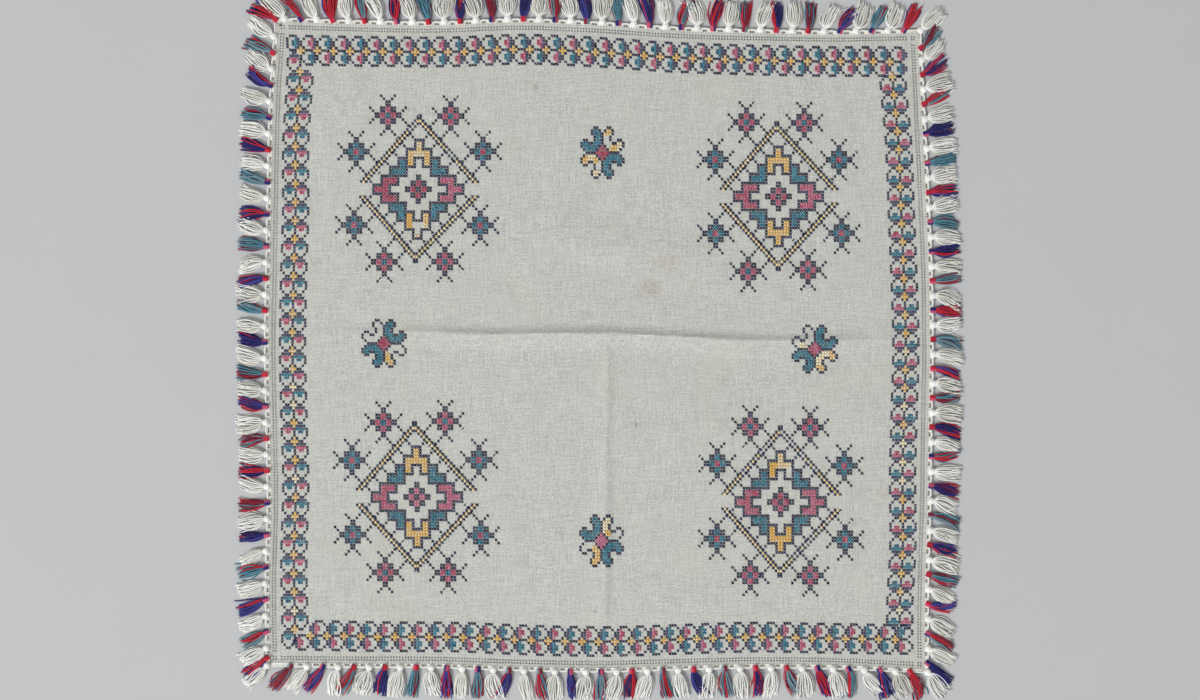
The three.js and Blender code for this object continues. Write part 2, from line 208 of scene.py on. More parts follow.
def add_tubes(pile: Pile, paths: np.ndarray, radii: np.ndarray, sides: int, tips: Optional[np.ndarray] = None,
              flat: float = 1.0, tip_across: float = 0.0, **values: np.ndarray) -> None:
    """Adds closed strands of yarn or thread that run mostly level.

    Args:
        pile: Where they go.
        paths: Middle lines, as strands by stations by three.
        radii: Radius at each station of each strand.
        sides: Corners of the section.
        tips: Both end points of each strand, or none for blunt round ends.
        flat: Height of the section as a share of its width.
        tip_across: How far from the middle line the finish takes the end points to be; the finish turns this
            into painted shade on them.
        values: One number or colour for each strand, by name.
    """
    strands, stations = paths.shape[:2]
    tangent = unit(np.gradient(paths, axis=1))
    across = unit(np.cross(np.array([0.0, 0.0, 1.0]), tangent))
    upward = np.cross(tangent, across)
    turn = np.pi / 2 + np.arange(sides) * 2 * np.pi / sides
    ring = across[:, :, None] * np.cos(turn)[:, None] + upward[:, :, None] * (np.sin(turn) * flat)[:, None]
    points = paths[:, :, None] + ring * radii[:, :, None, None]
    if tips is None:
        reach = radii[:, [0, -1], None] * np.array([-0.5, 0.5])[:, None]
        tips = paths[:, [0, -1]] + tangent[:, [0, -1]] * reach
    each = stations * sides + 2
    points = np.concatenate([points.reshape(strands, -1, 3), tips], axis=1)
    walls, caps = tube_faces(stations, sides)
    offsets = (np.arange(strands) * each)[:, None, None]
    faces = [(offsets + walls).reshape(-1, 4), (offsets + caps).reshape(-1, 3)]
    run = np.cumsum(np.linalg.norm(np.diff(paths, axis=1, prepend=paths[:, :1]), axis=-1), axis=1)
    along = np.concatenate([np.repeat(run, sides, axis=1), run[:, [0, -1]]], axis=1)
    breadth = radii[:, :, None] * np.cos(turn)
    # The end points carry tip_across, which the finish reads as painted shade.
    beside_line = np.concatenate([breadth.reshape(strands, -1), np.full((strands, 2), tip_across)], axis=1)
    spread = {name: np.repeat(np.asarray(value, float), each, axis=0) for name, value in values.items()}
    pile.add(points.reshape(-1, 3), faces, along=along.ravel(), across=beside_line.ravel(), **spread)


def add_thick(pile: Pile, flat: np.ndarray, low: np.ndarray, high: np.ndarray,
              faces: list[np.ndarray]) -> None:
    """Adds a sheet with an upper face, an underside and walls round every edge and hole.

    Args:
        pile: Where it goes.
        flat: The x and y of each point.
        low: The underside's heights.
        high: The upper face's heights.
        faces: The upper face's corners.
    """
    used = np.unique(np.concatenate([found.ravel() for found in faces]))
    number = np.zeros(len(flat), int)
    number[used] = np.arange(len(used))
    faces = [number[found] for found in faces]
    count = len(used)
    upper = np.column_stack([flat[used], high[used]])
    lower = np.column_stack([flat[used], low[used]])
    edges = np.concatenate([np.stack([found, np.roll(found, -1, axis=1)], axis=-1).reshape(-1, 2)
                            for found in faces])
    forward = edges[:, 0] * count + edges[:, 1]
    backward = edges[:, 1] * count + edges[:, 0]
    rim = edges[~np.isin(forward, backward)]
    walls = np.column_stack([rim[:, 1], rim[:, 0], rim[:, 0] + count, rim[:, 1] + count])
    under = [found[:, ::-1] + count for found in faces]
    pile.add(np.concatenate([upper, lower]), [*faces, *under, walls])


class Wire:
    """A value in a material's node tree that can stand in sums."""

    def __init__(self, bench: "Bench", socket: bpy.types.NodeSocket) -> None:
        """Takes the tree that the value belongs to and the output that carries it."""
        self.bench = bench
        self.socket = socket

    def _sum(self, operation: str, first: "Number", second: "Number") -> "Wire":
        """Adds one Math node for two values."""
        return self.bench.node("ShaderNodeMath", {"operation": operation}, {0: first, 1: second})

    def __add__(self, other: "Number") -> "Wire":
        """Gives self + other."""
        return self._sum("ADD", self, other)

    def __radd__(self, other: "Number") -> "Wire":
        """Gives other + self."""
        return self._sum("ADD", other, self)

    def __sub__(self, other: "Number") -> "Wire":
        """Gives self - other."""
        return self._sum("SUBTRACT", self, other)

    def __rsub__(self, other: "Number") -> "Wire":
        """Gives other - self."""
        return self._sum("SUBTRACT", other, self)

    def __mul__(self, other: "Number") -> "Wire":
        """Gives self * other."""
        return self._sum("MULTIPLY", self, other)

    def __rmul__(self, other: "Number") -> "Wire":
        """Gives other * self."""
        return self._sum("MULTIPLY", other, self)

    def sine(self) -> "Wire":
        """Gives the sine of the value."""
        return self._sum("SINE", self, 0.0)

    def between(self, low: float, high: float) -> "Wire":
        """Gives 0 at low, 1 at high and a soft slope between."""
        inputs = {"Value": self, "From Min": low, "From Max": high}
        return self.bench.node("ShaderNodeMapRange", {"interpolation_type": "SMOOTHSTEP"}, inputs)


Number = Union[Wire, float]


class Bench:
    """A material's node tree with its surface shader."""

    def __init__(self, name: str) -> None:
        """Starts an empty tree.

        Args:
            name: The material's name.
        """
        self.material = bpy.data.materials.new(name)
        self.material.use_nodes = True
        self.tree = self.material.node_tree
        self.tree.nodes.clear()

    def node(self, kind: str, settings: Optional[dict] = None, inputs: Optional[dict] = None,
             output: Union[int, str] = 0) -> Wire:
        """Adds a node.

        Args:
            kind: Its type.
            settings: Its own settings, such as an operation.
            inputs: Values or wires by socket name or number.
            output: The output that is wanted.

        Returns:
            That output.
        """
        made = self.tree.nodes.new(kind)
        for name, value in (settings or {}).items():
            setattr(made, name, value)
        for key, value in (inputs or {}).items():
            if isinstance(value, Wire):
                self.tree.links.new(value.socket, made.inputs[key])
            else:
                made.inputs[key].default_value = value
        return Wire(self, made.outputs[output])

    def millimetres(self) -> Wire:
        """Gives the place on the object in millimetres."""
        place = self.node("ShaderNodeTexCoord", output="Object")
        return self.stretched(place, (1 / METRES,) * 3)

    def stretched(self, vector: Wire, scale: Sequence[float]) -> Wire:
        """Multiplies a vector by three numbers."""
        return self.node("ShaderNodeVectorMath", {"operation": "MULTIPLY"}, {0: vector, 1: tuple(scale)})

    def noise(self, place: Wire, scale: Sequence[float], detail: float = 2.0, rough: float = 0.5) -> Wire:
        """Gives cloudy noise from 0 to 1, with so many waves a millimetre along x, y and z."""
        inputs = {"Vector": self.stretched(place, scale), "Scale": 1.0, "Detail": detail, "Roughness": rough}
        return self.node("ShaderNodeTexNoise", None, inputs, "Fac")

    def mixed(self, share: Number, first: Union[Wire, Colour], second: Union[Wire, Colour],
              way: str = "MIX") -> Wire:
        """Mixes two colours.

        Args:
            share: How much of the second there is.
            first: The colour at 0.
            second: The colour at 1.
            way: The blend's name.

        Returns:
            The mixed colour.
        """
        ends = [colour if isinstance(colour, Wire) else (*colour, 1.0) for colour in (first, second)]
        settings = {"data_type": "RGBA", "blend_type": way, "clamp_result": False}
        return self.node("ShaderNodeMix", settings, {0: share, 6: ends[0], 7: ends[1]}, 2)

    def value(self, name: str) -> Wire:
        """Reads a number that the mesh holds at its points."""
        return self.node("ShaderNodeAttribute", {"attribute_name": name}, None, "Fac")

    def colour(self, name: str) -> Wire:
        """Reads a colour that the mesh holds at its points."""
        return self.node("ShaderNodeAttribute", {"attribute_name": name}, None, "Color")

    def bump(self, height: Wire, strength: float, distance: float) -> Wire:
        """Turns heights into a bumpy normal, where a height of 1 is so many millimetres."""
        inputs = {"Strength": strength, "Distance": distance * METRES, "Height": height}
        return self.node("ShaderNodeBump", None, inputs)

    def surface(self, inputs: dict) -> bpy.types.Material:
        """Ends the tree with its shader.

        Args:
            inputs: Values or wires for the shader's sockets.

        Returns:
            The finished material.
        """
        shader = self.node("ShaderNodeBsdfPrincipled", None, inputs)
        end = self.tree.nodes.new("ShaderNodeOutputMaterial")
        self.tree.links.new(shader.socket, end.inputs["Surface"])
        return self.material


@dataclass(frozen=True)
class Stain:
    """A faint spot on the cloth: its pixel, its half widths in millimetres, its tint and how strong it is."""

    pixel: Vector2
    half: Vector2
    tint: Colour
    strength: float


BLACK = (0.0, 0.0, 0.0)
BROWN = (0.62, 0.42, 0.22)
KNOT = (0.24, 0.13, 0.06)
ROSE = (0.86, 0.52, 0.52)
GREY = (0.2, 0.2, 0.24)


@dataclass(frozen=True)
class CottonFinish:
    """Unbleached plain-weave cotton with uneven threads, clouds of tone and a few faint stains."""

    pale: Colour = (0.67, 0.68, 0.636)
    deep: Colour = (0.44, 0.45, 0.416)
    warm: Colour = (0.59, 0.575, 0.50)
    thread_pitch: float = 0.72
    slub_width: float = 0.95
    slub_length: float = 17.0
    slub_layers: Vector2 = (3, 0.6)
    slub_contrast: float = 1.15
    speckle: float = 0.8
    speckle_layers: Vector2 = (3, 0.75)
    speckle_contrast: float = 2.4
    cloud: float = 0.016
    cloud_layers: Vector2 = (3, 0.55)
    cloud_floor: float = 0.42
    cloud_strength: float = 1.1
    blur: float = 0.3
    blur_layers: Vector2 = (4, 0.7)
    blur_reach: float = 3.2
    weave_rise: float = 0.35
    slub_rise: float = 0.4
    speckle_rise: float = 0.6
    bump_strength: float = 0.7
    bump_distance: float = 0.4
    stains: tuple[Stain, ...] = (
        Stain((535, 87), (2.4, 1.6), BROWN, 0.5),
        Stain((587, 110), (1.6, 1.9), BROWN, 0.35),
        Stain((668, 262), (9, 6), ROSE, 0.28),
        Stain((650, 290), (8, 9), ROSE, 0.28),
        Stain((636, 425), (0.9, 2.2), GREY, 0.45),
        Stain((595, 612), (1.3, 1.3), GREY, 0.35),
        Stain((882, 493), (3.5, 5), ROSE, 0.25),
        Stain((281, 24.5), (1.5, 1.3), KNOT, 0.9),
        Stain((271, 661), (1.8, 1.4), KNOT, 0.75),
        Stain((920, 668), (3.2, 2.4), BROWN, 0.35),
    )

    def make(self, shift: Sequence[float]) -> bpy.types.Material:
        """Makes the material.

        Args:
            shift: How far the cloth is moved, in millimetres.

        Returns:
            The material.
        """
        bench = Bench("cotton_cloth")
        place = bench.millimetres()
        level = bench.noise(place, (1 / self.slub_length, 1 / self.slub_width, 1), *self.slub_layers)
        upright = bench.noise(place, (1 / self.slub_width, 1 / self.slub_length, 1), *self.slub_layers)
        grain = bench.noise(place, (self.speckle,) * 3, *self.speckle_layers)
        clouds = bench.noise(place, (self.cloud,) * 3, *self.cloud_layers)
        tone = (level + upright - 1.0) * self.slub_contrast + (grain - 0.5) * self.speckle_contrast + 0.5
        colour = bench.mixed(tone.between(0.0, 1.0), self.deep, self.pale)
        colour = bench.mixed((clouds - self.cloud_floor) * self.cloud_strength, colour, self.warm)
        blur = bench.noise(place, (self.blur,) * 3, *self.blur_layers)
        for stain in self.stains:
            colour = self._with_stain(bench, place, colour, stain, shift, blur)
        weave = self._weave(bench, place)
        height = weave * self.weave_rise + (level + upright) * self.slub_rise + grain * self.speckle_rise
        normal = bench.bump(height, self.bump_strength, self.bump_distance)
        return bench.surface({"Base Color": colour, "Roughness": 0.93, "Normal": normal, "Sheen Weight": 0.15,
                              "Specular IOR Level": 0.25})

    def _weave(self, bench: Bench, place: Wire) -> Wire:
        """Gives the height of the threads, over and under each other.

        Args:
            bench: The material's tree.
            place: The place in millimetres.

        Returns:
            The height, from 0 to 1.
        """
        turn = 2 * math.pi / self.thread_pitch
        warp, weft = ((bench.node("ShaderNodeSeparateXYZ", None, {0: place}, axis) * turn).sine()
                      for axis in "XY")
        return warp * weft * 0.5 + 0.5

    def _with_stain(self, bench: Bench, place: Wire, colour: Wire, stain: Stain, shift: Sequence[float],
                    blur: Wire) -> Wire:
        """Lays one stain over a colour.

        Args:
            bench: The material's tree.
            place: The place in millimetres.
            colour: What it lies on.
            stain: The stain.
            shift: How far the cloth is moved, in millimetres.
            blur: Noise that makes its rim uneven.

        Returns:
            The stained colour.
        """
        middle = from_pixel(stain.pixel) + np.asarray(shift)
        scale = (1 / stain.half[0], 1 / stain.half[1], 0.0)
        there = (middle[0] * scale[0], middle[1] * scale[1], 0.0)
        near = bench.stretched(place, scale)
        distance = bench.node("ShaderNodeVectorMath", {"operation": "DISTANCE"}, {0: near, 1: there}, "Value")
        mask = (distance + (blur - 0.5) * self.blur_reach).between(1.5, 0.1) * stain.strength
        return bench.mixed(mask, colour, stain.tint, "MULTIPLY")


@dataclass(frozen=True)
class ThreadFinish:
    """Stranded embroidery cotton in one colour, deeper or paler from stitch to stitch.

    half is half a strand's width, level the share of its length that keeps this width before it tapers to the
    ends, and the field after level how much painted shade darkens these ends, standing in for the shadow
    where they go down into the cloth; rim is painted shade that darkens each strand towards its edges.
    """

    slot: str
    deep: Colour
    pale: Colour
    half: float
    level: float
    # Painted shade at the strand's sunk ends, in place of the shadow in the needle holes.
    end_shade: float
    twist: float = 0.55
    # Painted shade towards each strand's edges, where the strands shade one another.
    rim: float = 0.7
    slant: float = 2.2
    tint: float = 1.4
    tint_strength: float = 0.5
    bump_strength: float = 0.5
    bump_distance: float = 0.12

    def make(self) -> bpy.types.Material:
        """Makes the material.

        Returns:
            The material.
        """
        bench = Bench(self.slot)
        colour = bench.mixed(bench.value("fade"), self.deep, self.pale)
        across = bench.value("across")
        strands = (across * (2 * math.pi / self.twist) + bench.value("along") * self.slant).sine()
        tint = bench.noise(bench.millimetres(), (self.tint,) * 3, 1, 0.5)
        # Random tint, plus painted shade towards the strand's edges and at its sunk ends.
        shade = (tint - 0.5) * self.tint_strength + across * across * (self.rim / self.half ** 2)
        colour = bench.mixed(shade, colour, BLACK)
        normal = bench.bump(strands * 0.5 + 0.5, self.bump_strength, self.bump_distance)
        return bench.surface({"Base Color": colour, "Roughness": 0.65, "Normal": normal,
                              "Specular IOR Level": 0.12})


@dataclass(frozen=True)
class YarnFinish:
    """Soft cotton yarn whose colour and tone the strands hold themselves, with painted shade towards each
    strand's edges.
    """

    slot: str
    twist: float = 1.7
    roughness: float = 0.85
    # Painted shade towards each strand's edges, in the gaps between strands.
    rim: float = 1.0
    slant: float = 5.0
    fuzz: float = 2.2
    twist_shade: float = 0.06
    fuzz_shade: float = 0.28
    least_shade: float = 0.02
    fuzz_rise: float = 0.4
    bump_strength: float = 0.6
    bump_distance: float = 0.2

    def make(self) -> bpy.types.Material:
        """Makes the material.

        Returns:
            The material.
        """
        bench = Bench(self.slot)
        across = bench.value("across")
        twist = (bench.value("along") * (2 * math.pi / self.twist) + across * self.slant).sine()
        fuzz = bench.noise(bench.millimetres(), (self.fuzz,) * 3, 2, 0.6)
        shade = twist * self.twist_shade + (fuzz - 0.5) * self.fuzz_shade
        # Painted shade at the strand's edges, on top of the twist's shade and random fuzz.
        shade = shade + across * across * self.rim + self.least_shade
        colour = bench.mixed(shade, bench.colour("dye"), BLACK)
        normal = bench.bump(twist * 0.5 + fuzz * self.fuzz_rise, self.bump_strength, self.bump_distance)
        return bench.surface({"Base Color": colour, "Roughness": self.roughness, "Normal": normal,
                              "Sheen Weight": 0.25, "Specular IOR Level": 0.25})


@dataclass(frozen=True)
class FloorFinish:
    """A plain pale surface with hardly any grain."""

    pale: Colour = (0.52, 0.53, 0.54)
    warm: Colour = (0.62, 0.62, 0.61)
    grain: float = 0.02
    grain_strength: float = 0.12

    def make(self) -> bpy.types.Material:
        """Makes the material.

        Returns:
            The material.
        """
        bench = Bench("plain_floor")
        grain = bench.noise(bench.millimetres(), (self.grain,) * 3, 2, 0.5)
        colour = bench.mixed(grain * self.grain_strength, self.pale, self.warm)
        return bench.surface({"Base Color": colour, "Roughness": 0.9})


class Side(Enum):
    """The four sides, with the direction that points out of the cloth."""

    TOP = (0.0, 1.0)
    RIGHT = (1.0, 0.0)
    BOTTOM = (0.0, -1.0)
    LEFT = (-1.0, 0.0)

    @property
    def level(self) -> bool:
        """Says whether the side runs across the picture."""
        return self.value[0] == 0.0

    @property
    def outward(self) -> np.ndarray:
        """Gives the direction out of the cloth."""
        return np.array(self.value)

    @property
    def label(self) -> str:
        """Gives the side's name as the pieces have it."""
        return self.name.lower()


@dataclass(frozen=True)
class Edge:
    """One side's line from corner to corner, with how far it bows out at each eighth."""

    side: Side
    start: Vector2
    end: Vector2
    bow: tuple[float, ...]

    def at(self, share: Union[float, np.ndarray]) -> np.ndarray:
        """Gives places on the side.

        Args:
            share: Shares of the way from left to right or from top to bottom.

        Returns:
            The x and y of each.
        """
        along = np.asarray(share, float)[..., None]
        out = through_values(self.bow, share)[..., None] * self.side.outward
        return np.array(self.start) * (1 - along) + np.array(self.end) * along + out

    @property
    def direction(self) -> np.ndarray:
        """Gives the direction from the start to the end."""
        return unit(np.array(self.end) - np.array(self.start))

    @property
    def length(self) -> float:
        """Gives the length from corner to corner."""
        return float(np.linalg.norm(np.array(self.end) - np.array(self.start)))


@dataclass(frozen=True)
class Wave:
    """A soft ripple along a line: its ends, its height and how far it reaches to each side."""

    start: Vector2
    end: Vector2
    height: float
    reach: float


@dataclass
class ClothForm:
    """The cloth's outline, its creases and the height of its surface."""

    top_left: Vector2 = (-245.2, 246.2)
    top_right: Vector2 = (242.0, 237.4)
    bottom_left: Vector2 = (-251.5, -242.0)
    bottom_right: Vector2 = (247.3, -246.9)
    top_bow: tuple[float, ...] = (0, -0.9, -0.7, 2.6, 1.4, -1.5, -2.3, -2.1, 0)
    right_bow: tuple[float, ...] = (0, 2.0, 4.3, 6.2, 6.3, 4.6, 3.1, 0.8, 0)
    bottom_bow: tuple[float, ...] = (0, 0.0, -0.4, 1.1, 1.6, -0.6, -2.6, -2.3, 0)
    left_bow: tuple[float, ...] = (0, 2.9, 3.6, 3.9, 4.2, 2.4, 0.6, 1.4, 0)
    crest_x: tuple[float, ...] = (-240, -168, -137, -117, -80, -53, 8, 31, 69, 107, 183, 240)
    crest_y: tuple[float, ...] = (9.9, 10.3, 10.6, 9.5, 8.0, 9.1, 9.1, 8.0, 6.1, 3.8, 3.8, 5.0)
    crest_height: tuple[float, ...] = (0, 1.1, 1.9, 2.6, 3.3, 3.5, 3.9, 3.7, 3.5, 3.2, 1.9, 0)
    crest_above: float = 9.0
    crest_below: float = 16.0
    crest_steep: float = 2.5
    crest_soft: float = 1.5
    cross_top: Vector2 = (6.3, 9.0)
    cross_bottom: Vector2 = (3.8, -236.0)
    cross_height: float = 1.3
    cross_left: float = 13.0
    cross_right: float = 6.5
    cross_fade: float = 45.0
    waves: tuple[Wave, ...] = (
        Wave((-175, 205), (-225, 145), 1.0, 17),
        Wave((-95, 97), (125, 52), 1.2, 24),
        Wave((-125, -2), (-190, -62), 0.9, 16),
        Wave((30, -98), (118, -46), 0.9, 22),
        Wave((35, -212), (112, -176), 0.9, 18),
        Wave((198, -205), (222, -150), 1.0, 14),
        Wave((-205, -190), (-120, -222), 0.7, 14),
    )
    underside: float = 0.28
    thickness: float = 0.75
    ripple: float = 0.2
    ripples: int = 12
    ripple_lengths: Vector2 = (24, 62)
    outline_points: int = 401

    def __post_init__(self) -> None:
        """Draws the small ripples and finds the frame's shift."""
        draw = np.random.default_rng(SEED)
        heading = draw.uniform(0, np.pi, self.ripples)
        wave_length = draw.uniform(*self.ripple_lengths, self.ripples)
        self.ripple_wave = np.stack([np.cos(heading), np.sin(heading)], axis=-1) * (
            2 * np.pi / wave_length)[:, None]
        self.ripple_start = draw.uniform(0, 2 * np.pi, self.ripples)
        self.edges = {
            Side.TOP: Edge(Side.TOP, self.top_left, self.top_right, self.top_bow),
            Side.RIGHT: Edge(Side.RIGHT, self.top_right, self.bottom_right, self.right_bow),
            Side.BOTTOM: Edge(Side.BOTTOM, self.bottom_left, self.bottom_right, self.bottom_bow),
            Side.LEFT: Edge(Side.LEFT, self.top_left, self.bottom_left, self.left_bow),
        }
        shares = np.linspace(0, 1, self.outline_points)
        outline = np.concatenate([edge.at(shares) for edge in self.edges.values()])
        middle = (outline.min(0) + outline.max(0)) / 2
        low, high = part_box("cloth")
        self.shift = np.array([(low.x + high.x) / 2, (low.y + high.y) / 2]) / METRES - middle

    @property
    def width(self) -> float:
        """Gives the mean length of the top and bottom sides."""
        return (self.edges[Side.TOP].length + self.edges[Side.BOTTOM].length) / 2

    @property
    def height(self) -> float:
        """Gives the mean length of the left and right sides."""
        return (self.edges[Side.LEFT].length + self.edges[Side.RIGHT].length) / 2

    def place(self, across: np.ndarray, down: np.ndarray) -> np.ndarray:
        """Gives places on the cloth.

        Args:
            across: Share of the way from the left side to the right one.
            down: Share of the way from the top side to the bottom one.

        Returns:
            The x and y of each.
        """
        s, t = across[..., None], down[..., None]
        top, bottom = self.edges[Side.TOP].at(across), self.edges[Side.BOTTOM].at(across)
        left, right = self.edges[Side.LEFT].at(down), self.edges[Side.RIGHT].at(down)
        upper = np.array(self.top_left) * (1 - s) + np.array(self.top_right) * s
        lower = np.array(self.bottom_left) * (1 - s) + np.array(self.bottom_right) * s
        flat = upper * (1 - t) + lower * t
        return (1 - t) * top + t * bottom + (1 - s) * left + s * right - flat

    def crest_line(self, x: np.ndarray) -> np.ndarray:
        """Gives the y of the main crease's crest."""
        return np.interp(x, self.crest_x, self.crest_y)

    def _main_crease(self, x: np.ndarray, y: np.ndarray) -> np.ndarray:
        """Gives the height that the main crease lifts the cloth.

        Args:
            x: The places' x.
            y: Their y.

        Returns:
            The height at each.
        """
        gap = y - self.crest_line(x)
        reach = np.where(gap > 0, self.crest_above, self.crest_below)
        slope = np.clip(1 - np.abs(gap) / reach, 0, 1) ** np.where(gap > 0, self.crest_steep, self.crest_soft)
        return np.interp(x, self.crest_x, self.crest_height) * slope

    def _cross_crease(self, x: np.ndarray, y: np.ndarray) -> np.ndarray:
        """Gives the height that the upright crease lifts the cloth.

        Args:
            x: The places' x.
            y: Their y.

        Returns:
            The height at each.
        """
        (top_x, top_y), (bottom_x, bottom_y) = self.cross_top, self.cross_bottom
        gap = x - (top_x + (bottom_x - top_x) * (top_y - y) / (top_y - bottom_y))
        reach = np.where(gap > 0, self.cross_right, self.cross_left)
        slope = np.clip(1 - np.abs(gap) / reach, 0, 1) ** self.crest_soft
        fade = eased((y - bottom_y) / self.cross_fade)
        return np.where(y < top_y, self.cross_height * slope * fade, 0)

    def lift(self, x: np.ndarray, y: np.ndarray) -> np.ndarray:
        """Gives how far creases and waves lift the cloth.

        Args:
            x: The places' x.
            y: Their y.

        Returns:
            The height at each.
        """
        highest = np.maximum(self._main_crease(x, y), self._cross_crease(x, y))
        for wave in self.waves:
            run = np.array(wave.end) - np.array(wave.start)
            length = float(np.linalg.norm(run))
            ahead = ((x - wave.start[0]) * run[0] + (y - wave.start[1]) * run[1]) / length
            aside = ((x - wave.start[0]) * run[1] - (y - wave.start[1]) * run[0]) / length
            swell = np.clip(np.sin(np.pi * np.clip(ahead / length, 0, 1)), 0, 1)
            slope = 0.5 + 0.5 * np.cos(np.pi * np.clip(np.abs(aside) / wave.reach, 0, 1))
            highest = np.maximum(highest, wave.height * swell * slope)
        return highest

    def bottom(self, x: np.ndarray, y: np.ndarray) -> np.ndarray:
        """Gives the height of the cloth's underside.

        Args:
            x: The places' x.
            y: Their y.

        Returns:
            The height at each.
        """
        phase = x[..., None] * self.ripple_wave[:, 0] + y[..., None] * self.ripple_wave[:, 1]
        phase = phase + self.ripple_start
        small = np.sin(phase).sum(-1) / math.sqrt(self.ripples)
        return self.underside + self.lift(x, y) + self.ripple * small.clip(-1, 1)

    def top(self, x: np.ndarray, y: np.ndarray) -> np.ndarray:
        """Gives the height of the cloth's upper face at each place."""
        return self.bottom(x, y) + self.thickness


